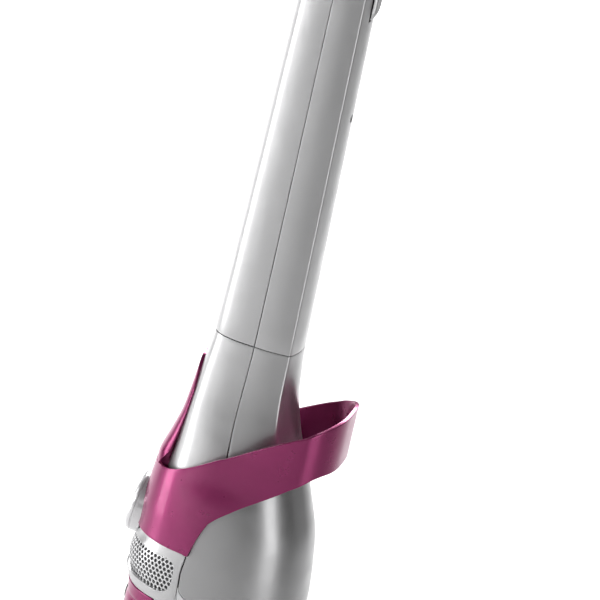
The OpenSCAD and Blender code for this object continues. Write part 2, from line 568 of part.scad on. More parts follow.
module brush_core() color([0.25, 0.25, 0.27]) {
  difference() {
    union() {
      along_x(-head_w / 2 + 20, brush_u, brush_z, 13, head_w - 40);
      along_x(-head_w / 2 + 17, brush_u, brush_z, 3, head_w - 34);
    }
    for (s = [0 : 3], i = [-4 : 4]) tuft_place(s, i) translate([-10.1, -1.65, 10]) cube([20.2, 3.3, 8]);
  }
  along_x(head_w / 2 - 29, brush_u, brush_z, 14, 6);
}
module tuft_place(s, i) translate([i * 21 * (head_w / 250), yh(brush_u), brush_z])
  rotate([s * 90 + i * 12, 0, 0]) children();
module brush_tufts() color([0.85, 0.2, 0.4])
  for (s = [0 : 3], i = [-4 : 4]) tuft_place(s, i)
    translate([-10, -1.6, 10]) cube([20, 3.2, brush_r - 10]);
module brush_bearings() color([0.6, 0.6, 0.62]) for (x = [-1, 1])
  difference() {
    along_x(x * (head_w / 2 - 16) - 2, brush_u, brush_z, 9, 4);
    along_x(x * (head_w / 2 - 16) - 4, brush_u, brush_z, 3 + run, 8);
  }
belt_x = head_w / 2 - 26;
drive_u = -38;
drive_z = 30;
module brush_motor() color([0.5, 0.5, 0.52]) difference() {
  along_x(38, drive_u, drive_z, 16, 36);
  along_x(36, drive_u, drive_z, 2.5 + run, 60);
}
module motor_pulley() color([0.6, 0.6, 0.62]) {
  along_x(42, drive_u, drive_z, 2.5, belt_x - 42 + 5);
  along_x(belt_x - 3, drive_u, drive_z, 6, 6);
}
module belt_tunnel() translate([belt_x - 5, yh(-104), 12]) cube([10, 80, 44]);
module drive_belt() color([0.06, 0.06, 0.06]) translate([belt_x - 2.6, 0, 0]) rotate([90, 0, 90])
  linear_extrude(5.2) difference() {
    hull() {
      translate([yh(brush_u), brush_z]) circle(r = 15.8);
      translate([yh(drive_u), drive_z]) circle(r = 7.8);
    }
    hull() {
      translate([yh(brush_u), brush_z]) circle(r = 14.3);
      translate([yh(drive_u), drive_z]) circle(r = 6.3);
    }
  }
module wheel(x) color([0.1, 0.1, 0.1]) difference() {
  along_x(x - 10, axle_u, axle_z, wheel_r, 20);
  for (s = [-1, 1]) along_x(x + s * 10 - 2, axle_u, axle_z, wheel_r - 6, 4);
  along_x(x - 12, axle_u, axle_z, 3 + run, 24);
  for (i = [0 : 4]) translate([x, yh(axle_u), axle_z]) rotate([i * 72, 0, 0]) translate([0, 0, 10])
    rotate([0, 90, 0]) cylinder(r = 3, h = 30, center = true);
}
module roller(x) color([0.12, 0.12, 0.12]) difference() {
  along_x(x - 7, -58, 9, 9, 14);
  along_x(x - 9, -58, 9, 2 + run, 20);
}
wheel_x = head_w / 2 - 37;
module wheel_left() wheel(wheel_x);
module wheel_right() wheel(-wheel_x);
module roller_left() roller(60);
module roller_right() roller(-60);
module axle_pins() color([0.7, 0.7, 0.72]) for (x = [-1, 1]) {
  along_x(x * wheel_x - 16, axle_u, axle_z, 3, 32);
  along_x(x * 60 - 13, -58, 9, 2, 26);
}

carry_ring();
front_spine();
neck_front();
neck_rear();
tube_front();
tube_rear();
release_slide();
release_spring();
latch_bar();
tube_screw();
tube_core();
seam_sleeve();
handle_front();
handle_rear();
soft_grip();
handle_cap();
power_slider();
boost_button();
switch_board();
rear_shell();
vent_frame();
vent_mesh();
lower_shell();
bin_cover();
lens_ring();
lens_glass();
lens_board();
suction_motor();
fan_wheel();
fan_housing();
motor_mount();
main_board();
battery_case();
battery_cells();
battery_contacts();
charge_socket();
dust_bin();
bin_lid();
cyclone_cone();
filter_pleats();
bin_seal();
bin_button();
swivel_hub();
air_duct();
tilt_yoke();
head_base();
head_cover();
sole_plate();
bumper();
brush_core();
brush_tufts();
brush_bearings();
brush_motor();
motor_pulley();
drive_belt();
wheel_left();
wheel_right();
axle_pins();
roller_left();
roller_right();
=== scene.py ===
"""Looks of an upright cordless stick vacuum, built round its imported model.

The curved shells are modelled again as smooth, thick-walled panels laid on the body's own
sections, and every carried node gets a finish of its own.
"""
import json
import logging
import math
from dataclasses import dataclass
from enum import Enum
from typing import Callable, Optional, Sequence

import bpy
from mathutils import Matrix, Vector


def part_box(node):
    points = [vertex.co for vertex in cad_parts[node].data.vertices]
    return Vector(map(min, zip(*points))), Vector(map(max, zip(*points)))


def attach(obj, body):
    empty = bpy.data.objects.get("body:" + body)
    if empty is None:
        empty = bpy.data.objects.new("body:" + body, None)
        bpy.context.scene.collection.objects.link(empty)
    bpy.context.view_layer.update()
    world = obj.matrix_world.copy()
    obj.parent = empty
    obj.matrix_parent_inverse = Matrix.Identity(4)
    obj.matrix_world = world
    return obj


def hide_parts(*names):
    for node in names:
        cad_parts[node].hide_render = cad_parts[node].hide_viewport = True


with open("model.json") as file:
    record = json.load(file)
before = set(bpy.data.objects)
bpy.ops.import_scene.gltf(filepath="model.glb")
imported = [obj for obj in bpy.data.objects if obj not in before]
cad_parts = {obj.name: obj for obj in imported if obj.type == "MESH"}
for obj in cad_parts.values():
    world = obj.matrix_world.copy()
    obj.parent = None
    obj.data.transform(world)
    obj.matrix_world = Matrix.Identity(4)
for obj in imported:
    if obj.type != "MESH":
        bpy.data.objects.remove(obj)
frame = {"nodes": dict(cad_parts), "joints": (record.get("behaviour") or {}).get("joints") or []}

LOG = logging.getLogger("vacuum")
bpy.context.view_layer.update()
MM = 0.001

Point = tuple[float, float, float]
Rows = Sequence[Sequence[float]]


# ---------------------------------------------------------------- sections of the body


def clamp(value: float) -> float:
    """Limits a value to the range 0 to 1."""
    return max(0.0, min(1.0, value))


def ease(low: float, high: float, value: float) -> float:
    """Smooth step from 0 at low to 1 at high."""
    s = clamp((value - low) / (high - low))
    return s * s * (3 - 2 * s)


def mix(first: float, second: float, share: float) -> float:
    """Blends two numbers."""
    return first * (1 - share) + second * share


def power(value: float, exponent: float) -> float:
    """Power that keeps the sign of its base."""
    return math.copysign(abs(value) ** exponent, value) if value else 0.0


def folded(angle: float) -> float:
    """Angle from the front, the same on both sides."""
    a = angle % 360
    return a if a <= 180 else 360 - a


def curve(rows: Rows, at: float, column: int) -> float:
    """Reads a smooth curve through a table.

    Args:
        rows: the table, sorted by its first column.
        at: the value of the first column to read at.
        column: the column to read.

    Returns:
        The smoothly interpolated value.
    """
    last = len(rows) - 1
    i = 0
    while i < last - 1 and at >= rows[i + 1][0]:
        i += 1
    h = rows[i + 1][0] - rows[i][0]
    s = clamp((at - rows[i][0]) / h)

    def slope(k: int) -> float:
        """Slope of the curve at one row."""
        p, q = max(k - 1, 0), min(k + 1, last)
        return (rows[q][column] - rows[p][column]) / (rows[q][0] - rows[p][0])

    a, b = rows[i][column], rows[i + 1][column]
    m, n = slope(i) * h, slope(i + 1) * h
    return a + s * (m + s * (3 * (b - a) - 2 * m - n + s * (2 * (a - b) + m + n)))


@dataclass(frozen=True)
class Sections:
    """Cross sections of the body, neck, tube, handle and carry ring, in millimetres.

    Heights count from the seam between neck and tube, depths from the tube's back crease.
    """

    seam_height: float = 590.0
    middle: float = -4.05
    ring_wall: float = 3.6
    ring_gap: float = 0.4
    body_oval: float = 2.35
    tube_oval: float = 2.5
    tube_corner: float = 0.62
    flank_bow: float = 1.3
    crease_round: float = 1.7
    spine_half: float = 27.0
    body: tuple = (
        (-440, -64, -24, 20, 35), (-420, -74, -24, 26, 37.5), (-400, -82, -24, 32, 40),
        (-380, -88, -25, 38, 44.5), (-360, -92.5, -25, 43, 48.5), (-330, -96, -25, 49, 53.5),
        (-300, -98.5, -25, 54, 57), (-268, -98, -26, 57, 59.5), (-252, -98.5, -26, 57.3, 60),
        (-240, -103.5, -27, 57.2, 60), (-227, -107.3, -27, 57, 60), (-213, -106, -28, 56, 59.8),
        (-198, -99.5, -28, 54.5, 59), (-170, -98.3, -29, 50.5, 56.5), (-145, -96.3, -30, 42.5, 53.5),
        (-124, -94, -32, 35, 50), (-90, -91, -34, 22, 46))
    tube: tuple = (
        (-150, -91, -34, 32, 47, 45, 44), (-137, -89, -33, 27, 45.5, 43, 40),
        (-124, -87.5, -32, 22, 44, 41, 35), (-102, -84.5, -31.5, 12, 40.5, 37, 26.5),
        (-79, -81.5, -32.5, 6, 36.5, 32.5, 18), (-52, -79, -32.7, 2, 32.5, 28.5, 10.5),
        (-25, -76.5, -32.3, 0.5, 29.7, 26, 7), (0, -74, -32, 0, 28, 24.5, 5),
        (346, -67.5, -34, -6.5, 24, 21, -1.5), (405, -66, -34.3, -7.6, 23.4, 20.5, -2.6),
        (440, -58, -30, -5.5, 22.2, 19.5, -1), (480, -41, -17, 5, 20, 18, 9),
        (520, -20, 2, 21, 18, 16, 25), (540, -9, 13, 31, 17, 15, 35))
    rim: tuple = ((0, -135.5), (15, -134.2), (30, -132.8), (45, -130.2), (60, -124.1), (75, -114.5),
                  (90, -101.8), (100, -90.1), (110, -75.7), (120, -63.5), (130, -56.1), (140, -51.7),
                  (150, -48.1), (165, -45), (180, -44))
    hem: tuple = ((78, -195.5), (81.9, -196), (82.4, -193.9), (84, -184.5), (86, -175), (88, -166.8),
                  (90, -159.3), (93, -152.8), (97, -146.4), (102, -138.7), (108, -130.3), (115, -120.2),
                  (122, -110.6), (130, -104), (140, -97.8), (152, -94.5), (180, -93))
    spine: tuple = ((-140, 12.8), (-122, 10), (-102, 6.6), (-79, 3.8), (-32, 3))

    def y(self, depth: float) -> float:
        """Turns a depth from the tube's crease into a place along Y."""
        return depth + 30 - self.middle

    def z(self, height: float) -> float:
        """Turns a height from the seam into a height above the floor."""
        return self.seam_height + height

    def oval(self, angle: float, front: float, mid: float, back: float, half: float,
             squareness: float, out: float) -> tuple[float, float]:
        """Point of a rounded section, a quarter at a time.

        Args:
            angle: degrees from the front, towards +X.
            front: depth of the front point.
            mid: depth of the widest point.
            back: depth of the back point.
            half: half width.
            squareness: exponent of the oval, 2 for an ellipse.
            out: distance outside the section.

        Returns:
            The point's X and Y in millimetres.
        """
        c, s, e = math.cos(math.radians(angle)), math.sin(math.radians(angle)), 2 / squareness
        x = (half + out) * power(s, e)
        if c > 0:
            return x, self.y(mid) - (mid - front + out) * power(c, e)
        return x, self.y(mid) + (back - mid + out) * power(-c, e)

    def body_at(self, angle: float, height: float, out: float = 0.0) -> Point:
        """Point on the body's surface at an angle and a height."""
        front, mid, back, half = (curve(self.body, height, i) for i in range(1, 5))
        x, y = self.oval(angle, front, mid, back, half, self.body_oval, out)
        return x, y, self.z(height)

    def tube_side(self, b: float, row: Sequence[float], out: float) -> tuple[float, float]:
        """Half section of the tube: rounded front, flat flank, crease and bowed back."""
        front, mid, crease, half, narrow, back = row
        r, corner = math.radians(b), self.tube_corner
        if b <= 90:
            return ((half + out) * power(math.sin(r), corner),
                    self.y(mid) - (mid - front + out) * power(math.cos(r), corner))
        if b <= 150:
            s = (b - 90) / 60
            return (mix(half, narrow, s) + out + self.flank_bow * math.sin(math.pi * s),
                    mix(self.y(mid), self.y(crease), s) + out * s)
        s = (180 - b) / 30
        return (narrow + out) * s, mix(self.y(back), self.y(crease), s * s) + out

    def tube_at(self, angle: float, height: float, out: float = 0.0) -> Point:
        """Point on the neck, tube or handle, with the crease slightly rounded."""
        b = folded(angle)
        row = [curve(self.tube, height, i) for i in range(1, 7)]
        near = [self.tube_side(b + d, row, out) if 0 <= b + d <= 180 else None
                for d in (-self.crease_round, 0, self.crease_round)]
        if abs(b - 150) < 5 and None not in near:
            p = tuple((near[0][k] + 2 * near[1][k] + near[2][k]) / 4 for k in range(2))
        else:
            p = near[1]
        front, mid, _, half, _, back = row
        q = self.oval(b, front, mid, back, half, self.tube_oval, out)
        s = ease(-125, -66, height) * (1 - ease(410, 450, height))
        x, y = mix(q[0], p[0], s), mix(q[1], p[1], s)
        return (x if angle % 360 <= 180 else -x), y, self.z(height)

    def rim_at(self, angle: float) -> float:
        """Height of the ring's upper edge."""
        return curve(self.rim, folded(angle), 1)

    def hem_at(self, angle: float) -> float:
        """Height of the ring's lower edge."""
        return curve(self.hem, folded(angle), 1)

    def ring_at(self, angle: float, height: float, out: float = 0.0) -> Point:
        """Point on the outside of the carry ring."""
        b = folded(angle)
        near = self.body_at(b, height, out + self.ring_gap + self.ring_wall)
        far = self.oval(b, -101, -20, 62, 55, 3, out)
        s = ease(88, 128, b)
        x, y = mix(near[0], far[0], s), mix(near[1], far[1], s)
        return (x if angle % 360 <= 180 else -x), y, self.z(height)

    def spine_at(self, angle: float, height: float) -> Point:
        """Point on the raised panel at the front of the neck; angle is signed."""
        b = abs(angle) / self.spine_half
        return self.tube_at(angle, height, curve(self.spine, height, 1) * (1 - 0.62 * b ** 3))


SHAPE = Sections()


# ---------------------------------------------------------------- finishes


FLAKE_SCALE = 2600.0
WEAVE_SCALE = 900.0
PLEAT_SCALE = 160.0
RELIEF_HEIGHT = 0.0003
COAT_ROUGHNESS = 0.08
PLASTIC_IOR = 1.49


class Grain(Enum):
    """Fine structure of a finish."""

    SPARK = "spark-eroded plastic"
    FLAKE = "metallic flake under lacquer"
    BRUSHED = "brushed metal"
    PLEAT = "folded paper"
    WEAVE = "woven or bristle fibre"
    SMOOTH = "polished"


@dataclass(frozen=True)
class Finish:
    """One surface finish and the node material that shows it.

    Attributes:
        name: name of the material.
        colour: base colour, linear RGB.
        metallic: share of metal.
        rough: mean roughness.
        grain: fine structure.
        spread: how far the colour wanders, as a share.
        depth: strength of the fine relief.
        coat: weight of clear lacquer.
        clear: share of light that passes through.
        glow: strength of the light that it gives off.
    """

    name: str
    colour: tuple
    metallic: float = 0.0
    rough: float = 0.5
    grain: Grain = Grain.SPARK
    spread: float = 0.06
    depth: float = 0.15
    coat: float = 0.0
    clear: float = 0.0
    glow: float = 0.0

    def build(self) -> bpy.types.Material:
        """Makes the node material.

        Returns:
            The finished material.
        """
        mat = bpy.data.materials.new(self.name)
        mat.use_nodes = True
        tree = mat.node_tree
        shader = tree.nodes["Principled BSDF"]
        shader.inputs["Metallic"].default_value = self.metallic
        shader.inputs["Coat Weight"].default_value = self.coat
        shader.inputs["Coat Roughness"].default_value = COAT_ROUGHNESS
        shader.inputs["Transmission Weight"].default_value = self.clear
        shader.inputs["IOR"].default_value = PLASTIC_IOR
        place = tree.nodes.new("ShaderNodeTexCoord").outputs["Object"]
        self._colour(tree, shader, place)
        self._roughness(tree, shader, place)
        self._relief(tree, shader, place)
        if self.glow:
            shader.inputs["Emission Color"].default_value = (*self.colour, 1)
            shader.inputs["Emission Strength"].default_value = self.glow
        mat.diffuse_color = (*self.colour, 1)
        return mat

    def _node(self, tree: bpy.types.NodeTree, kind: str, **values: object) -> bpy.types.Node:
        """Adds a node with constants or links on its inputs, named with _ for a space."""
        node = tree.nodes.new("ShaderNode" + kind)
        for key, value in values.items():
            socket = node.inputs[key.replace("_", " ")]
            if isinstance(value, bpy.types.NodeSocket):
                tree.links.new(value, socket)
            else:
                socket.default_value = value
        return node

    def _noise(self, tree: bpy.types.NodeTree, place: bpy.types.NodeSocket, scale: float,
               detail: float = 3.0, stretch: Optional[Point] = None) -> bpy.types.NodeSocket:
        """Adds a noise texture and returns its value output."""
        if stretch:
            place = self._node(tree, "Mapping", Scale=stretch, Vector=place).outputs["Vector"]
        return self._node(tree, "TexNoise", Scale=scale, Detail=detail, Vector=place).outputs["Fac"]

    def _ramp(self, tree: bpy.types.NodeTree, source: bpy.types.NodeSocket, low: tuple,
              high: tuple, start: float = 0.3, stop: float = 0.7) -> bpy.types.NodeSocket:
        """Adds a colour ramp between two colours and returns its output."""
        ramp = tree.nodes.new("ShaderNodeValToRGB")
        ramp.color_ramp.elements[0].position = start
        ramp.color_ramp.elements[1].position = stop
        ramp.color_ramp.elements[0].color = (*low, 1)
        ramp.color_ramp.elements[1].color = (*high, 1)
        tree.links.new(source, ramp.inputs["Fac"])
        return ramp.outputs["Color"]

    def _shade(self, factor: float) -> tuple:
        """The base colour made lighter or darker."""
        return tuple(min(1.0, c * factor) for c in self.colour)

    def _colour(self, tree: bpy.types.NodeTree, shader: bpy.types.Node,
                place: bpy.types.NodeSocket) -> None:
        """Lets the colour wander slowly, with flakes where the finish has them, and painted shade along
        the pleats of folded paper.
        """
        slow = self._noise(tree, place, 22.0, 4.0)
        base = self._ramp(tree, slow, self._shade(1 - self.spread), self._shade(1 + self.spread))
        if self.grain in (Grain.FLAKE, Grain.WEAVE):
            scale = FLAKE_SCALE if self.grain is Grain.FLAKE else WEAVE_SCALE
            cells = self._node(tree, "TexVoronoi", Scale=scale, Vector=place)
            tint = self._ramp(tree, cells.outputs["Distance"], (1.03, 1.03, 1.03),
                              (0.98, 0.98, 0.98), 0.0, 0.6)
            blend = tree.nodes.new("ShaderNodeMix")
            blend.data_type, blend.blend_type = "RGBA", "MULTIPLY"
            blend.inputs["Factor"].default_value = 1.0
            tree.links.new(base, blend.inputs["A"])
            tree.links.new(tint, blend.inputs["B"])
            base = blend.outputs["Result"]
        # Folded paper: the colour darkens and lightens in bands with the pleats, as painted shade of
        # the pleats.
        if self.grain is Grain.PLEAT:
            pleat_shade = self._node(tree, "TexWave", Scale=PLEAT_SCALE, Distortion=0.6, Vector=place)
            base = self._ramp(tree, pleat_shade.outputs["Fac"], self._shade(0.62), self._shade(1.05),
                              0.1, 0.8)
        tree.links.new(base, shader.inputs["Base Color"])

    def _roughness(self, tree: bpy.types.NodeTree, shader: bpy.types.Node,
                   place: bpy.types.NodeSocket) -> None:
        """Makes some patches a little duller than others, as handling does."""
        worn = self._noise(tree, place, 60.0, 6.0)
        span = self._node(tree, "MapRange", Value=worn, From_Min=0.3, From_Max=0.75,
                          To_Min=self.rough * 0.88, To_Max=min(1.0, self.rough * 1.16))
        tree.links.new(span.outputs["Result"], shader.inputs["Roughness"])

    def _relief(self, tree: bpy.types.NodeTree, shader: bpy.types.Node,
                place: bpy.types.NodeSocket) -> None:
        """Adds the fine relief: grain, orange peel, brush lines or pleats."""
        if self.grain is Grain.BRUSHED:
            height = self._noise(tree, place, 90.0, 5.0, (1.0, 14.0, 14.0))
        elif self.grain is Grain.FLAKE:
            height = self._noise(tree, place, 420.0, 2.0)
        elif self.grain is Grain.PLEAT:
            height = self._node(tree, "TexWave", Scale=PLEAT_SCALE, Vector=place).outputs["Fac"]
        elif self.grain is Grain.SMOOTH:
            height = self._noise(tree, place, 35.0, 2.0)
        else:
            height = self._noise(tree, place, 1500.0, 4.0)
        bump = self._node(tree, "Bump", Strength=self.depth, Distance=RELIEF_HEIGHT, Height=height)
        tree.links.new(bump.outputs["Normal"], shader.inputs["Normal"])


FINISHES: dict[str, Finish] = {
    "silver": Finish("satin_silver_lacquer", (0.60, 0.60, 0.605), 0.82, 0.34, Grain.FLAKE,
                     0.02, 0.035, 0.12),
    "pale": Finish("pale_silver_lacquer", (0.80, 0.80, 0.81), 0.55, 0.30, Grain.FLAKE,
                   0.02, 0.03, 0.2),
    # Same silver as the tube, made darker for the side and back shell: painted shade.
    "body": Finish("body_silver_painted_shade", (0.47, 0.47, 0.475), 0.85, 0.33, Grain.FLAKE,
                   0.02, 0.035, 0.12),
    "felt": Finish("vent_felt", (0.20, 0.20, 0.205), 0.0, 0.7, Grain.WEAVE, 0.1, 0.5),
    "mesh": Finish("silver_mesh_lacquer", (0.78, 0.78, 0.79), 0.6, 0.33, Grain.FLAKE,
                   0.03, 0.04, 0.1),
    "magenta": Finish("magenta_metallic_lacquer", (0.31, 0.03, 0.135), 0.62, 0.30, Grain.FLAKE,
                      0.04, 0.03, 0.35),
    "black": Finish("black_moulded_plastic", (0.022, 0.022, 0.024), 0.0, 0.46, Grain.SPARK, 0.12, 0.35),
    "dark_inside": Finish("dark_inner_plastic", (0.012, 0.012, 0.013), 0.0, 0.6, Grain.SPARK,
                          0.15, 0.3),
    "rubber": Finish("matt_rubber", (0.016, 0.016, 0.017), 0.0, 0.72, Grain.SPARK, 0.15, 0.6),
    "chrome": Finish("bright_plated_trim", (0.82, 0.83, 0.84), 1.0, 0.09, Grain.SMOOTH, 0.015, 0.02),
    "steel": Finish("bright_steel", (0.56, 0.56, 0.57), 1.0, 0.26, Grain.BRUSHED, 0.05, 0.25),
    "can": Finish("zinc_plated_can", (0.50, 0.51, 0.53), 1.0, 0.36, Grain.BRUSHED, 0.08, 0.2),
    "clear": Finish("clear_lens", (0.93, 0.96, 0.97), 0.0, 0.03, Grain.SMOOTH,
                    0.01, 0.01, 0.0, 0.92),
    "smoked": Finish("smoked_clear_plastic", (0.45, 0.47, 0.49), 0.0, 0.06, Grain.SMOOTH,
                     0.03, 0.02, 0.0, 0.85),
    "grey": Finish("grey_plastic", (0.10, 0.10, 0.105), 0.0, 0.42, Grain.SPARK, 0.1, 0.3),
    "board": Finish("circuit_board", (0.02, 0.14, 0.05), 0.0, 0.35, Grain.WEAVE, 0.2, 0.3, 0.3),
    "brass": Finish("plated_contact", (0.78, 0.58, 0.25), 1.0, 0.25, Grain.BRUSHED, 0.06, 0.2),
    "cells": Finish("cell_wrap", (0.03, 0.16, 0.36), 0.0, 0.33, Grain.SMOOTH, 0.08, 0.05, 0.3),
    "paper": Finish("pleated_paper", (0.72, 0.71, 0.64), 0.0, 0.85, Grain.PLEAT, 0.08, 0.8),
    "bristle": Finish("nylon_bristle", (0.30, 0.03, 0.12), 0.0, 0.55, Grain.WEAVE, 0.3, 0.9),
    "glow": Finish("indicator_light", (0.55, 0.75, 0.9), 0.0, 0.3, Grain.SMOOTH,
                   0.05, 0.02, 0.0, 0.0, 0.6),
}


class Wardrobe:
    """Builds each finish once and puts it on objects."""

    def __init__(self) -> None:
        """Starts with nothing built."""
        self.built: dict[str, bpy.types.Material] = {}

    def get(self, key: str) -> bpy.types.Material:
        """Returns the material of a finish, building it the first time."""
        if key not in self.built:
            self.built[key] = FINISHES[key].build()
        return self.built[key]

    def dress(self, obj: bpy.types.Object, key: str) -> None:
        """Puts one finish on all of an object."""
        obj.data.materials.clear()
        obj.data.materials.append(self.get(key))

    def dress_nodes(self, key: str, *nodes: str) -> None:
        """Puts one finish on carried nodes."""
        for node in nodes:
            target = frame["nodes"][node]
            for index in range(max(1, len(target.material_slots))):
                if not target.material_slots:
                    target.data.materials.append(self.get(key))
                target.material_slots[index].material = self.get(key)


WARDROBE = Wardrobe()


def dress_groups(groups: dict[str, tuple[str, ...]]) -> None:
    """Puts each finish on its carried nodes."""
    for finish, nodes in groups.items():
        WARDROBE.dress_nodes(finish, *nodes)


# ---------------------------------------------------------------- modelling tools


def deselect() -> None:
    """Leaves object mode with nothing selected."""
    if bpy.context.object and bpy.context.object.mode != "OBJECT":
        bpy.ops.object.mode_set(mode="OBJECT")
    bpy.ops.object.select_all(action="DESELECT")


def activate(obj: bpy.types.Object) -> None:
    """Selects one object alone and makes it active."""
    deselect()
    obj.select_set(True)
    bpy.context.view_layer.objects.active = obj


def smooth(obj: bpy.types.Object, angle: float = 32.0) -> None:
    """Shades an object smooth, with edges sharper than the angle kept."""
    activate(obj)
    bpy.ops.object.shade_smooth_by_angle(angle=math.radians(angle))


def settle(obj: bpy.types.Object) -> None:
    """Applies an object's place, turn and scale to its mesh."""
    activate(obj)
    bpy.ops.object.transform_apply(location=True, rotation=True, scale=True)


def apply_all(obj: bpy.types.Object) -> None:
    """Applies every modifier in order."""
    activate(obj)
    for modifier in list(obj.modifiers):
        bpy.ops.object.modifier_apply(modifier=modifier.name)


def thicken(obj: bpy.types.Object, wall: float, edge: float = 0.6, steps: int = 3,
            even: bool = True) -> None:
    """Gives a sheet its wall, inwards, and rounds the wall's edges.

    Args:
        obj: the sheet, its faces pointing outwards.
        wall: thickness in millimetres.
        edge: radius of the rounded edges in millimetres.
        steps: facets round each edge.
        even: keeps the wall's thickness at corners; off for outlines with a step.
    """
    solid = obj.modifiers.new("wall", "SOLIDIFY")
    solid.thickness = wall * MM
    solid.offset = -1
    solid.use_even_offset = even
    if edge:
        round_edges(obj, edge, steps)
    apply_all(obj)


def round_edges(obj: bpy.types.Object, edge: float, steps: int = 3, limit: float = 38.0) -> None:
    """Adds a bevel to the sharp edges, left to be applied."""
    bevel = obj.modifiers.new("edge", "BEVEL")
    bevel.width = edge * MM
    bevel.segments = steps
    bevel.limit_method = "ANGLE"
    bevel.angle_limit = math.radians(limit)
    bevel.use_clamp_overlap = True
    bevel.harden_normals = False


def sheet_on(name: str, columns: Sequence[float], rows: int,
             place: Callable[[float, float], Point], closed: bool = False) -> bpy.types.Object:
    """Makes a sheet from a grid laid on a surface.

    Args:
        name: name of the piece.
        columns: the values that run round the surface, left to right seen from outside.
        rows: number of strips from bottom to top.
        place: gives a point in millimetres for a column value and a share of the height.
        closed: whether the last column meets the first.

    Returns:
        The sheet, with its faces pointing outwards.
    """
    deselect()
    count = len(columns)
    bpy.ops.mesh.primitive_grid_add(x_subdivisions=count - 1, y_subdivisions=rows, size=2)
    obj = bpy.context.object
    obj.name = obj.data.name = name
    for vertex in obj.data.vertices:
        i = round((vertex.co.x + 1) / 2 * (count - 1))
        t = (vertex.co.y + 1) / 2
        vertex.co = Vector(place(columns[i], t)) * MM
    if closed:
        edit(obj, lambda: bpy.ops.mesh.remove_doubles(threshold=2e-5))
    return obj


def strip(low: Callable[[float], float], high: Callable[[float], float],
          surface: Callable[[float, float], Point]) -> Callable[[float, float], Point]:
    """Turns a surface and its lower and upper edges into a place for sheet_on."""
    return lambda a, t: surface(a, mix(low(a), high(a), t))


def edit(obj: bpy.types.Object, *jobs: Callable[[], object]) -> None:
    """Runs mesh operators on all of an object in edit mode."""
    activate(obj)
    bpy.ops.object.mode_set(mode="EDIT")
    bpy.ops.mesh.select_all(action="SELECT")
    for job in jobs:
        job()
    bpy.ops.object.mode_set(mode="OBJECT")


def spread(low: float, high: float, count: int) -> list[float]:
    """Evenly spaced values, both ends included."""
    return [low + (high - low) * i / (count - 1) for i in range(count)]


def refine(values: Sequence[float], times: int) -> list[float]:
    """Divides each step of a list of values."""
    out = [values[0]]
    for a, b in zip(values, values[1:]):
        out += [a + (b - a) * k / times for k in range(1, times + 1)]
    return out


def mirrored(half: Sequence[float]) -> list[float]:
    """A list from minus its last value to its last value."""
    return [-v for v in reversed(half) if v] + list(half)


def all_round(half: Sequence[float]) -> list[float]:
    """Angles of one side, carried on over the back to the other side."""
    return list(half) + [360 - a for a in reversed(half[:-1])]


def level(height: float) -> Callable[[float], float]:
    """An edge that keeps one height."""
    return lambda angle: height


def turned(name: str, profile: Sequence[tuple[float, float]], frame_at: Matrix,
           sides: int = 96) -> bpy.types.Object:
    """Makes a turned piece from a profile.

    Args:
        name: name of the piece.
        profile: radius and height pairs in millimetres, from inside out, up and back.
        frame_at: place and direction of the axis, in millimetres.
        sides: facets round the piece.

    Returns:
        The closed turned piece.
    """
    radii = list(profile)

    def at(angle: float, t: float) -> Point:
        """Point on the turned surface."""
        r, h = radii[round(t * (len(radii) - 1))]
        p = frame_at @ Vector((r * math.cos(math.radians(angle)), r * math.sin(math.radians(angle)), h))
        return p.x, p.y, p.z

    obj = sheet_on(name, spread(0, 360, sides + 1), len(radii) - 1, at, closed=True)
    edit(obj, lambda: bpy.ops.mesh.dissolve_degenerate(threshold=1e-7),
         lambda: bpy.ops.mesh.normals_make_consistent(inside=False))
    return obj


def cut_with(obj: bpy.types.Object, cutter: bpy.types.Object) -> None:
    """Cuts a closed shape out of a piece and removes the cutter."""
    hole = obj.modifiers.new("cut", "BOOLEAN")
    hole.operation = "DIFFERENCE"
    hole.solver = "EXACT"
    hole.object = cutter
    activate(obj)
    bpy.ops.object.modifier_apply(modifier=hole.name)
    bpy.data.objects.remove(cutter, do_unlink=True)


def join(*objs: bpy.types.Object) -> bpy.types.Object:
    """Joins pieces into the first."""
    deselect()
    for obj in objs:
        obj.select_set(True)
    bpy.context.view_layer.objects.active = objs[0]
    bpy.ops.object.join()
    return objs[0]


def box_mesh(name: str, low: Point, high: Point) -> bpy.types.Object:
    """A plain box between two corners in millimetres, used as a cutter or a start."""
    deselect()
    centre = [(a + b) / 2 * MM for a, b in zip(low, high)]
    bpy.ops.mesh.primitive_cube_add(size=1, location=centre)
    obj = bpy.context.object
    obj.name = name
    obj.scale = [(b - a) * MM for a, b in zip(low, high)]
    settle(obj)
    return obj


def show(obj: bpy.types.Object, body: str, finish: str, *nodes: str, slot: str = "") -> None:
    """Finishes a piece: dresses it, ties it to its body and hides what it replaces.

    Args:
        obj: the finished piece.
        body: body that it rides on.
        finish: key of its finish.
        nodes: carried nodes that it replaces.
        slot: the record's material slot; not used.
    """
    WARDROBE.dress(obj, finish)
    smooth(obj)
    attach(obj, body)
    if nodes:
        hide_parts(*nodes)
    LOG.info("built %s", obj.name)


def seat_at(y: float, z: float, tilt: float) -> Matrix:
    """Place of an axis on the middle plane, tilted about X, in millimetres and degrees."""
    return Matrix.Translation((0, y, z)) @ Matrix.Rotation(math.radians(tilt), 4, "X")


def plug(name: str, radius: float, reach: float, seat: Matrix, sides: int) -> bpy.types.Object:
    """Round plug that reaches the same way up and down its axis, for cutting a hole."""
    return turned(name, [(0, -reach), (radius, -reach), (radius, reach), (0, reach)], seat, sides)


LENS_SEAT = seat_at(SHAPE.y(-104.5), SHAPE.z(-186), 84)


def lens_cutter(radius: float = 28.4) -> bpy.types.Object:
    """Round plug at the indicator's place, for cutting its hole."""
    return plug("lens_cutter", radius, 16, LENS_SEAT, 96)


# ---------------------------------------------------------------- tube and neck


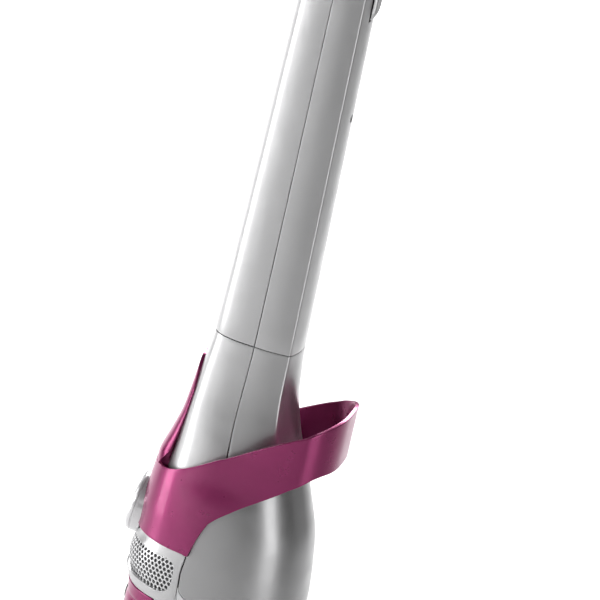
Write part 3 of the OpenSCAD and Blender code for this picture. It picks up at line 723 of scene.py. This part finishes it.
@dataclass
class TubeAndNeck:
    """The long tube, the neck under it and the raised panel at the neck's front."""

    wall: float = 2.6
    edge: float = 0.55
    foot: float = -136.0
    front_half: tuple = (0, 1.2, 2.5, 4.5, 7, 10, 13, 16.5, 20, 24.5, 29, 34.5, 40, 45.5, 51, 56.5, 62,
                         66.5, 71, 75, 78.5, 81.7, 84.5, 86.5, 88, 89, 89.5, 89.8, 89.95)
    back_half: tuple = (90.4, 93, 97, 102, 108, 114, 121, 128, 135, 141, 145, 147, 148.3, 149.3, 150,
                        150.7, 151.7, 153, 155, 159, 164, 169, 174.5, 180)

    def foot_at(self, angle: float) -> float:
        """Lower edge of the neck's shells."""
        b = folded(angle)
        return self.foot if b < 100 else mix(self.foot, -108, ease(100, 130, b))

    def build(self) -> None:
        """Builds the four shells and the front panel."""
        on = SHAPE.tube_at
        shells = (
            ("neck_front_shell", mirrored(self.front_half), 40, self.foot_at, level(-0.3),
             "neck_front"),
            ("neck_back_shell", all_round(self.back_half), 44, self.foot_at, level(-0.3), "neck_rear"),
            ("tube_front_shell", mirrored(self.front_half), 24, level(0.3), level(404), "tube_front"),
            ("tube_back_shell", all_round(self.back_half), 24, level(0.3), level(404), "tube_rear"),
        )
        for name, columns, rows, low, high, node in shells:
            obj = sheet_on(name, columns, rows, strip(low, high, on))
            thicken(obj, self.wall, self.edge)
            if node == "tube_rear":
                self.pierce(obj)
            show(obj, "upright", "silver", node, slot="silver_paint")
        self.spine()
        WARDROBE.dress_nodes("steel", "tube_screw")

    def pierce(self, obj: bpy.types.Object) -> None:
        """Cuts the screw's hole and the release slide's pocket in the back."""
        y = SHAPE.tube_at(180, 223)[1]
        cut_with(obj, turned("screw_cutter", [(0, -6), (3.4, -6), (3.4, -0.9), (4.3, 0.4), (4.3, 6),
                                              (0, 6)], seat_at(y, SHAPE.z(223), -90), 48))
        low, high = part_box("release_slide")
        cut_with(obj, box_mesh("slide_cutter", (-9.3, y - 30, low[2] / MM - 0.6),
                               (9.3, y + 20, high[2] / MM + 6.6)))

    def spine(self) -> None:
        """Builds the raised magenta panel at the front of the neck."""
        half = (0, 2, 4, 6, 8.5, 11, 13.5, 16, 18.5, 20.5, 22.5, 24, 25.2, 26.2, 27)

        def top(angle: float) -> float:
            """Upper edge, an arch with its apex at the front."""
            return -30 - 30 * (abs(angle) / SHAPE.spine_half) ** 2.4

        def surface(angle: float, height: float) -> Point:
            """Panel's surface, running down into the ring's wall."""
            rim = SHAPE.rim_at(angle)
            s = ease(rim + 14, rim - 1, height)
            near, under = SHAPE.spine_at(angle, height), SHAPE.ring_at(angle, height, -0.35)
            return tuple(mix(p, q, s) for p, q in zip(near, under))

        obj = sheet_on("neck_front_panel", mirrored(half), 60,
                       strip(lambda a: SHAPE.rim_at(a) - 5, top, surface))
        thicken(obj, 9.0, 0.9, 4)
        show(obj, "upright", "magenta", "front_spine", slot="magenta_paint")


@dataclass
class ReleaseSlide:
    """Ribbed slide on the back of the tube."""

    half_width: float = 8.4
    proud: float = 5.2
    rib: float = 1.5
    slope: float = 15.0
    rib_places: tuple = (-4.3, 0.0, 4.3)

    def build(self) -> None:
        """Builds the pad with its ribs, sloping into the tube at its ends."""
        low, high = (v[2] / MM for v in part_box("release_slide"))
        xs = spread(-self.half_width, self.half_width, 57)

        def at(x: float, t: float) -> Point:
            """Point on the pad's outer face."""
            z = mix(low, high, t)
            end = min(z - low, high - z)
            arch = clamp(end / self.slope)
            side = 1 - (abs(x) / self.half_width) ** 6
            lift = self.proud * math.sqrt(1 - (1 - arch) ** 2) * (0.25 + 0.75 * side)
            groove = sum(math.exp(-((x - p) / 0.85) ** 2) for p in self.rib_places)
            lift -= self.rib * groove * clamp((end - 5) / 5) * 1.1
            base = SHAPE.tube_at(180, z - SHAPE.seam_height)[1] - 1.2
            width = x * (1 if end > 8 else mix(0.55, 1, math.sqrt(clamp(end / 8))))
            return -width, base + max(lift, 0.2), z

        obj = sheet_on("release_pad", xs, 90, at)
        thicken(obj, 2.4, 0.0)
        show(obj, "release", "silver", "release_slide", slot="silver_paint")
        WARDROBE.dress_nodes("steel", "latch_bar", "release_spring")


# ---------------------------------------------------------------- body


@dataclass
class CarryRing:
    """The magenta ring: tight on the body in front, a free loop for the fingers at the back."""

    wall: float = 3.6
    edge: float = 1.25

    def columns(self) -> list[float]:
        """Angles round the ring, closer together at the pointed hem."""
        half = refine([0, 8, 16, 24, 32, 40, 48, 56, 64, 70, 74, 77, 79.5, 81, 81.9, 82.2,
                       82.6, 83.2, 84,
                       85, 86, 87, 88.2, 89.5, 91, 93, 95.5, 98, 101, 104, 108, 112, 116, 120, 124, 128,
                       132, 136, 140, 145, 150, 157, 165, 173, 180], 2)
        return all_round(half)

    def build(self) -> None:
        """Builds the ring and cuts the indicator's hole."""
        obj = sheet_on("carry_ring_loop", self.columns(), 26,
                       strip(SHAPE.hem_at, SHAPE.rim_at, SHAPE.ring_at), closed=True)
        thicken(obj, self.wall, self.edge, 4)
        cut_with(obj, lens_cutter())
        show(obj, "upright", "magenta", "carry_ring", slot="magenta_paint")


@dataclass
class BodyShells:
    """Side and back shell, vent frame, mesh, lower shell and bin cover."""

    wall: float = 2.6
    frame_low: float = -248.0
    frame_high: float = -196.7
    pitch: float = 4.5
    hole: float = 1.78

    def side_top(self, angle: float) -> float:
        """Upper edge of the side shell, hidden under the ring."""
        b = folded(angle)
        if b < 82.2:
            return -197
        if b < 100:
            return SHAPE.hem_at(b) + 6 * ease(82, 86, b)
        return mix(SHAPE.hem_at(100) + 6, -109, ease(100, 135, b))

    def side_low(self, angle: float) -> float:
        """Lower edge of the side shell, rounded at its front corner."""
        b = folded(angle)
        return -228 - 15 * math.sqrt(clamp((b - 80.8) / 13)) - 62 * ease(94, 180, b)

    def build(self) -> None:
        """Builds the shells in order."""
        self.side_shell()
        self.vent_frame()
        self.vent_mesh()
        self.lower_shell()
        self.bin_cover()

    def side_shell(self) -> None:
        """Builds the silver shell of the sides and back."""
        half = refine([80.9, 81.1, 81.5, 82, 82.6, 83.5, 84.4, 85.5, 87, 89, 91.5, 95, 99, 104,
                       110, 117,
                       125, 134, 144, 156, 168, 180], 2)
        columns = all_round(half)
        obj = sheet_on("side_and_back_shell", columns, 48,
                       strip(self.side_low, self.side_top, SHAPE.body_at))
        thicken(obj, self.wall, 0.8, 4)
        # Dressed in the darker copy of the tube's silver, which is painted shade.
        show(obj, "upright", "body", "rear_shell", slot="silver_paint")

    def window(self, angle: float, upper: bool, room: float = 0.0) -> float:
        """Upper or lower edge of the vent's window."""
        b = folded(angle)
        if upper:
            corner = 8 * (1 - math.sqrt(1 - clamp((b - 68) / 8.6) ** 2))
            return -203.5 - 2 * ease(20, 60, b) - corner + room
        corner = 12 * (1 - math.sqrt(1 - clamp((b - 64) / 12.6) ** 2))
        return -239.5 + corner - room

    def vent_frame(self) -> None:
        """Builds the pale frame round the vent, with a stepped window."""
        half = refine([0, 8, 16, 24, 32, 40, 48, 56, 63, 70, 76, 80.1], 3)
        obj = sheet_on("vent_frame_shell", mirrored(half), 34,
                       strip(level(self.frame_low), level(self.frame_high),
                             lambda a, w: SHAPE.body_at(a, w, 0.4)))
        thicken(obj, self.wall + 0.4, 0.0)
        wide = refine([0, 10, 20, 30, 40, 50, 58, 64, 68, 71, 73, 74.5, 75.5, 76.1, 76.5], 3)
        cutter = sheet_on("window_cutter", mirrored(wide), 12,
                          strip(lambda a: self.window(a, False), lambda a: self.window(a, True),
                                lambda a, w: SHAPE.body_at(a, w, 6)))
        thicken(cutter, 14, 0.0)
        cut_with(obj, cutter)
        cut_with(obj, lens_cutter())
        round_edges(obj, 0.9, 3, 50)
        apply_all(obj)
        show(obj, "upright", "silver", "vent_frame", slot="pale_silver")

    def vent_mesh(self) -> None:
        """Builds the perforated mesh from one six-sided cell, repeated and bent on the body."""
        height = -222.0
        steps = [SHAPE.body_at(a * 0.5, height, -2.2) for a in range(0, 181)]
        lengths = [0.0]
        for p, q in zip(steps, steps[1:]):
            lengths.append(lengths[-1] + math.dist(p, q))

        def angle_at(arc: float) -> float:
            """Angle whose distance round the body from the front is arc."""
            side, arc = math.copysign(1, arc), abs(arc)
            i = next((k for k, v in enumerate(lengths) if v >= arc), len(lengths) - 1)
            i = max(i, 1)
            share = (arc - lengths[i - 1]) / max(1e-6, lengths[i] - lengths[i - 1])
            return side * 0.5 * (i - 1 + clamp(share))

        reach = lengths[159]
        row = self.pitch * math.sqrt(3) / 2
        columns, rows = int(2 * reach / self.pitch), 11
        cell = self.cell()
        across = cell.modifiers.new("across", "ARRAY")
        across.use_relative_offset, across.use_constant_offset = False, True
        across.constant_offset_displace = (self.pitch, 0, 0)
        across.count = columns
        apply_all(cell)
        rows_made = []
        for r in range(rows):
            deselect()
            copy = cell.copy()
            copy.data = cell.data.copy()
            bpy.context.collection.objects.link(copy)
            shift = self.pitch / 2 if r % 2 else 0.0
            for vertex in copy.data.vertices:
                vertex.co.x += shift - columns * self.pitch / 2
                vertex.co.y += (r - (rows - 1) / 2) * row
            rows_made.append(copy)
        bpy.data.objects.remove(cell, do_unlink=True)
        obj = join(*rows_made)
        obj.name = obj.data.name = "vent_mesh_panel"
        edit(obj, lambda: bpy.ops.mesh.remove_doubles(threshold=0.02))
        for vertex in obj.data.vertices:
            a = angle_at(max(-reach, min(reach, vertex.co.x)))
            w = height + vertex.co.y
            x, y, z = SHAPE.body_at(abs(a), w, -2.6)
            vertex.co = Vector((x if a >= 0 else -x, y, z)) * MM
        edit(obj, lambda: bpy.ops.mesh.dissolve_degenerate(threshold=1e-6))
        thicken(obj, 1.5, 0.0)
        cut_with(obj, lens_cutter(27.6))
        show(obj, "upright", "mesh", "vent_mesh", slot="pale_silver")
        self.backing()

    def cell(self) -> bpy.types.Object:
        """One flat cell of the mesh: a six-sided outline with a rounded hole."""
        deselect()
        outer = self.pitch / math.sqrt(3)
        bpy.ops.mesh.primitive_circle_add(vertices=12, radius=self.hole, fill_type="NOTHING")
        obj = bpy.context.object
        obj.name = "mesh_cell"
        edit(obj, bpy.ops.mesh.extrude_edges_move)
        for vertex in obj.data.vertices[12:]:
            a = math.atan2(vertex.co.y, vertex.co.x)
            k = round((math.degrees(a) - 90) / 30)
            reach = outer if k % 2 == 0 else outer * math.cos(math.radians(30))
            spot = math.radians(90 + 30 * k)
            vertex.co = Vector((reach * math.cos(spot), reach * math.sin(spot), 0))
        edit(obj, lambda: bpy.ops.mesh.normals_make_consistent(inside=False))
        if obj.data.polygons[0].normal.z < 0:
            edit(obj, bpy.ops.mesh.flip_normals)
        return obj

    def backing(self) -> None:
        """Builds the grey foam that shows behind the mesh's holes."""
        obj = sheet_on("vent_foam", spread(-78, 78, 79), 14,
                       strip(level(-246.5), level(-200), lambda a, w: SHAPE.body_at(a, w, -4.6)))
        thicken(obj, 1.6, 0.3, 2)
        cut_with(obj, lens_cutter(29.0))
        show(obj, "upright", "felt", slot="black_plastic")

    def lower_shell(self) -> None:
        """Builds the pale shell round the bin and its closing ring."""
        half = [*refine([63, 66, 70, 75, 79.4], 2),
                80.34, 80.36, 80.8, 80.85, 80.95, 81.1, 81.4, 81.8, 82.3, 83,
                *refine([84, 86, 89, 92, 95, 103, 112, 122, 133, 145, 157, 169, 180], 2)]
        columns = all_round(half)

        def top(angle: float) -> float:
            """Upper edge, just under the vent frame and the side shell."""
            b = folded(angle)
            return -248.6 if b < 80.35 else self.side_low(b) - 0.8

        obj = sheet_on("lower_body_shell", columns, 46, strip(level(-430), top, SHAPE.body_at))
        thicken(obj, self.wall, 0.0, even=False)
        ring = sheet_on("lower_ring", spread(0, 360, 121), 6,
                        strip(level(-440), level(-428.4), SHAPE.body_at), closed=True)
        thicken(ring, self.wall, 0.6)
        obj = join(obj, ring)
        y = SHAPE.body_at(180, -366)[1]
        cut_with(obj, plug("socket_cutter", 6.2, 20, seat_at(y, SHAPE.z(-366), -90), 64))
        show(obj, "upright", "pale", "lower_shell", slot="pale_silver")

    def bin_cover(self) -> None:
        """Builds the magenta cover of the dust bin with its air slot and button hole."""
        half = refine([0, 6, 12, 18, 24, 30, 36, 42, 48, 53, 57, 60, 62], 2)

        def surface(angle: float, height: float) -> Point:
            """Cover's surface, with a shallow slot under its upper edge and a lower fold."""
            slot = 1.5 * math.exp(-((height + 262) / 2.2) ** 2) * ease(56, 40, abs(angle))
            fold = 1.6 * ease(-262, -300, height) * (1 - ease(-340, -400, height))
            fold *= math.cos(math.radians(angle))
            return SHAPE.body_at(angle, height, 1.2 - slot + fold * 0.6)

        obj = sheet_on("bin_cover_shell", mirrored(half), 110,
                       strip(level(-427.6), level(-248.6), surface))
        thicken(obj, self.wall, 0.7, 4)
        y = SHAPE.body_at(0, -275)[1]
        cut_with(obj, plug("button_cutter", 7.5, 20, seat_at(y, SHAPE.z(-273), 90), 64))
        show(obj, "bin", "magenta", "bin_cover", slot="magenta_paint")


@dataclass
class Indicator:
    """Round indicator: plated ring, clear stepped lens and lit board."""

    radius: float = 26.0

    def build(self) -> None:
        """Builds the ring, the lens and the lit segments behind it."""
        r = self.radius
        ring = turned("indicator_ring", [
            (r - 3.2, -8), (r + 2, -8), (r + 2, 0.2), (r + 1.2, 0.5), (r + 1.2, 1.0), (r + 1.9, 1.3),
            (r + 1.9, 2.2), (r + 1.6, 3.4), (r + 1.0, 4.6), (r + 0.1, 5.5),
            (r - 1.0, 5.9), (r - 2.0, 5.8), (r - 2.8, 5.2), (r - 3.2, 4.4), (r - 3.2, -8)],
            LENS_SEAT, 128)
        show(ring, "upright", "pale", "lens_ring", slot="chrome_trim")
        dome = [(r - 3.5, 2.4), (r - 3.5, 4.2), (r - 3.9, 4.9), (r - 4.8, 5.2), (r - 5.6, 5.2),
                (r - 6.1, 5.9), (r - 7.2, 6.8)]
        dome += [(x, 9.4 - 2.6 * (x / (r - 7.2)) ** 2) for x in (17, 14.5, 12, 9.5, 7, 4.5, 2, 0)]
        lens = turned("indicator_lens", [(0, 2.4), (10, 2.4), *dome], LENS_SEAT, 128)
        show(lens, "upright", "clear", "lens_glass", slot="clear_plastic")
        WARDROBE.dress_nodes("chrome", "lens_board")
        self.segments()

    def segments(self) -> None:
        """Builds the curved light segments that show through the lens."""
        pieces = []
        for start in range(0, 360, 60):
            columns = spread(start + 6, start + 54, 17)

            def at(angle: float, t: float) -> Point:
                """Point on a flat curved segment."""
                radius = mix(15.0, 18.6, t)
                p = LENS_SEAT @ Vector((radius * math.cos(math.radians(angle)),
                                        radius * math.sin(math.radians(angle)), 1.2))
                return p.x, p.y, p.z

            piece = sheet_on("indicator_segment", list(reversed(columns)), 3, at)
            thicken(piece, 1.0, 0.3, 2)
            pieces.append(piece)
        obj = join(*pieces)
        obj.name = obj.data.name = "indicator_segments"
        show(obj, "upright", "glow", slot="clear_plastic")


# ---------------------------------------------------------------- handle


@dataclass
class Handle:
    """Handle shells, ribbed grip, end cap and controls."""

    wall: float = 2.6
    low: float = 404.8
    high: float = 534.0
    grip_low: float = 428.0
    grip_high: float = 524.0
    rib_pitch: float = 6.4
    seam: float = 535.0

    def build(self) -> None:
        """Builds the handle from bottom to top."""
        front = refine([0, 5, 12, 21, 32, 45, 58, 70, 80, 86.5, 89.6], 3)
        span = strip(level(self.low), level(self.high), SHAPE.tube_at)
        obj = sheet_on("handle_front_shell", mirrored(front), 60, span)
        thicken(obj, self.wall, 0.6)
        self.pierce(obj)
        show(obj, "upright", "silver", "handle_front", slot="silver_paint")
        back = refine([90.4 + i * 179.2 / 14 for i in range(15)], 4)
        obj = sheet_on("handle_back_shell", back, 60, span)
        thicken(obj, self.wall, 0.6)
        show(obj, "upright", "grey", "handle_rear", slot="black_plastic")
        self.grip()
        self.cap()
        dress_groups({"black": ("power_slider",), "magenta": ("boost_button",),
                      "board": ("switch_board",)})

    def pierce(self, obj: bpy.types.Object) -> None:
        """Cuts the holes of the slider and the button."""
        y = SHAPE.y(-60)
        cutter = box_mesh("slider_cutter", (-6.7, -30, -15.4), (6.7, 30, 15.4))
        cutter.matrix_world = Matrix.Translation(Vector((0, y, SHAPE.z(434))) * MM) @ Matrix.Rotation(
            math.radians(12), 4, "X")
        settle(cutter)
        cut_with(obj, cutter)
        _, y, z = SHAPE.tube_at(0, 469)
        cut_with(obj, plug("boost_cutter", 5.4, 30, seat_at(y, z, -113), 48))

    def grip(self) -> None:
        """Builds the soft grip with its cross ribs."""

        def surface(angle: float, height: float) -> Point:
            """Grip's surface with shallow ribs across the back."""
            phase = (height - self.grip_low) * math.pi * 2 / self.rib_pitch
            rib = 0.55 * (0.5 + 0.5 * math.cos(phase))
            inner = ease(100, 118, folded(angle)) * ease(self.grip_low, self.grip_low + 8, height)
            inner *= ease(self.grip_high, self.grip_high - 8, height)
            return SHAPE.tube_at(angle, height, 2.6 - rib * inner)

        obj = sheet_on("soft_grip_pad", spread(100, 260, 65), 180,
                       strip(level(self.grip_low), level(self.grip_high), surface))
        thicken(obj, 1.9, 0.7, 3)
        show(obj, "upright", "rubber", "soft_grip", slot="rubber")

    def cap(self) -> None:
        """Builds the rounded end cap."""
        low, high = SHAPE.tube_at(0, self.seam)[1], SHAPE.tube_at(180, self.seam)[1]
        middle, base = (low + high) / 2, SHAPE.z(534.6)

        def at(angle: float, t: float) -> Point:
            """Point on the dome."""
            phi = t * math.pi / 2
            k, rise = math.cos(phi) ** 0.8, math.sin(phi)
            x, y, _ = SHAPE.tube_at(angle, self.seam)
            return x * k, middle + 5 * rise + (y - middle) * k, base + 14.6 * rise

        obj = sheet_on("handle_end_cap", spread(0, 360, 97), 22, at, closed=True)
        thicken(obj, 1.6, 0.4, 2)
        show(obj, "upright", "magenta", "handle_cap", slot="magenta_paint")


# ---------------------------------------------------------------- floor head


@dataclass
class FloorHead:
    """Cover of the floor head; the rest of the head keeps its carried shape."""

    half_width: float = 125.0
    rim: float = 34.4

    def build(self) -> None:
        """Builds the domed cover and dresses the head's parts."""
        low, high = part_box("head_cover")
        y0, y1 = low[1] / MM, high[1] / MM
        mid, half = (y0 + y1) / 2, (y1 - y0) / 2
        top = high[2] / MM

        def at(angle: float, t: float) -> Point:
            """Point on the cover's dome."""
            phi = t * math.pi / 2
            k = math.cos(phi) ** 0.32
            c, s = math.cos(math.radians(angle)), math.sin(math.radians(angle))
            x, y = self.half_width * power(s, 0.36) * k, mid - half * power(c, 0.36) * k
            share = (y - y0) / (y1 - y0)
            rise = (top - self.rim) * (0.62 + 0.38 * math.sin(math.pi * min(1, 0.15 + share)) ** 1.2)
            return x, y, self.rim + rise * math.sin(phi) ** 0.75

        angles = refine(spread(0, 360, 73), 3)
        obj = sheet_on("head_cover_shell", angles, 40, at, closed=True)
        thicken(obj, 2.4, 0.8, 3)
        pivot = frame_pivot()
        cut_with(obj, box_mesh("yoke_cutter", (-46, pivot - 34, 20), (46, pivot + 120, 90)))
        round_edges(obj, 1.0, 3, 50)
        apply_all(obj)
        show(obj, "head", "magenta", "head_cover", slot="magenta_paint")
        dress_groups({
            "black": ("head_base", "sole_plate", "tilt_yoke"),
            "rubber": ("bumper", "drive_belt"),
            "steel": ("axle_pins", "motor_pulley", "brush_bearings"),
            "grey": ("brush_core", "wheel_left", "wheel_right", "roller_left", "roller_right"),
            "bristle": ("brush_tufts",),
            "can": ("brush_motor",),
        })


def frame_pivot() -> float:
    """Depth of the tilt axis in millimetres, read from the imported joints."""
    joint = next(j for j in frame["joints"] if j["name"] == "body_tilt")
    return joint["pos_m"][1] / MM


@dataclass
class Insides:
    """Inner parts, which keep their carried shapes."""

    def build(self) -> None:
        """Dresses each inner part."""
        dress_groups({
            "dark_inside": ("tube_core", "seam_sleeve", "air_duct", "fan_housing", "bin_lid"),
            "black": ("swivel_hub", "battery_case", "charge_socket", "bin_button"),
            "grey": ("cyclone_cone", "fan_wheel"),
            "rubber": ("motor_mount", "bin_seal"),
            "can": ("suction_motor",),
            "cells": ("battery_cells",),
            "brass": ("battery_contacts",),
            "board": ("main_board",),
            "paper": ("filter_pleats",),
            "smoked": ("dust_bin",),
        })


# ---------------------------------------------------------------- studio


@dataclass
class Studio:
    """Pale floor, soft lights and the camera."""

    azimuth: float = 101.6
    elevation: float = 24.0
    roll: float = 13.0
    across: float = 521.7
    lens: float = 900.0
    sensor: float = 36.0
    surround: float = 0.06
    ring_distance: float = 1.4
    panel_height: float = 0.75
    pool_height: float = 1.2

    def build(self) -> None:
        """Builds the whole studio."""
        self.floor()
        self.world()
        self.lights()
        self.camera()

    def floor(self) -> None:
        """Lays a pale seamless floor."""
        deselect()
        bpy.ops.mesh.primitive_plane_add(size=40, location=(0, 0, 0))
        floor = bpy.context.object
        floor.name = "studio_floor"
        finish = Finish("studio_floor_paint", (0.88, 0.88, 0.88), 0.0, 0.8, Grain.SMOOTH, 0.01, 0.02)
        floor.data.materials.append(finish.build())

    def world(self) -> None:
        """Sets an even white surround."""
        world = bpy.data.worlds.new("studio_world")
        bpy.context.scene.world = world
        world.use_nodes = True
        sky = world.node_tree.nodes["Background"]
        sky.inputs["Color"].default_value = (1, 1, 1, 1)
        sky.inputs["Strength"].default_value = self.surround

    def light(self, name: str, place: Point, size: tuple[float, float], watts: float,
              aim: Point) -> None:
        """Adds one soft rectangular light aimed at a point, all in metres."""
        data = bpy.data.lights.new(name, "AREA")
        data.shape, data.size, data.size_y, data.energy = "RECTANGLE", size[0], size[1], watts
        lamp = bpy.data.objects.new(name, data)
        bpy.context.collection.objects.link(lamp)
        lamp.location = place
        lamp.rotation_mode = "QUATERNION"
        lamp.rotation_quaternion = (Vector(aim) - Vector(place)).to_track_quat("-Z", "Y")

    def around(self, azimuth: float, distance: float, height: float) -> Point:
        """Place at an azimuth, distance and height round the object, in metres."""
        a = math.radians(azimuth)
        return distance * math.sin(a), -distance * math.cos(a), height

    def lights(self) -> None:
        """Places the soft panels round the object and over the floor."""
        aim = (0.0, 0.0, self.panel_height)
        self.light("background_soft", (-1.9, -0.42, 1.5), (1.6, 1.3), 75, (-1.9, -0.42, 0.0))
        for name, azimuth, size, watts in (
                ("front_panel", 18, (0.45, 1.5), 10.5), ("left_panel", -30, (0.8, 1.5), 3.4),
                ("back_panel", 138, (0.5, 1.5), 5.2), ("far_panel", 205, (0.8, 1.5), 0.6)):
            self.light(name, self.around(azimuth, self.ring_distance, self.panel_height), size,
                       watts, aim)
        for name, azimuth, distance, watts in (
                ("floor_pool_front", 48, 2.6, 44.0), ("floor_pool_near", 88, 2.6, 4.5)):
            over = self.around(azimuth, distance, self.pool_height)
            self.light(name, over, (0.9, 0.9), watts, (over[0], over[1], 0.0))

    def camera(self) -> None:
        """Aims the camera at the neck from the near side, a little behind and above."""
        a, e, r = (math.radians(v) for v in (self.azimuth, self.elevation, self.roll))
        back = Vector((math.sin(a) * math.cos(e), -math.cos(a) * math.cos(e), math.sin(e)))
        right = Vector((math.cos(a), math.sin(a), 0))
        up = back.cross(right)
        crease = Vector((24.5, SHAPE.y(0), SHAPE.seam_height))
        target = (crease + right * -2.7 + up * 50.2) * MM
        distance = self.across * MM * self.lens / self.sensor
        data = bpy.data.cameras.new("camera")
        data.lens, data.sensor_width = self.lens, self.sensor
        data.clip_end = 100
        camera = bpy.data.objects.new("camera", data)
        bpy.context.collection.objects.link(camera)
        turn = Matrix((right, up, back)).transposed()
        spin = Matrix.Rotation(r, 3, "Z")
        camera.matrix_world = Matrix.Translation(target + back * distance) @ (turn @ spin).to_4x4()
        bpy.context.scene.camera = camera
        bpy.context.scene.view_settings.view_transform = "Standard"


def main() -> None:
    """Builds the vacuum's looks piece by piece, then the studio."""
    logging.basicConfig(level=logging.INFO, format="%(message)s")
    for part in (TubeAndNeck(), ReleaseSlide(), CarryRing(), BodyShells(), Indicator(), Handle(),
                 FloorHead(), Insides()):
        part.build()
        LOG.info("done with %s", type(part).__name__)
    Studio().build()


if __name__ == "__main__":
    main()
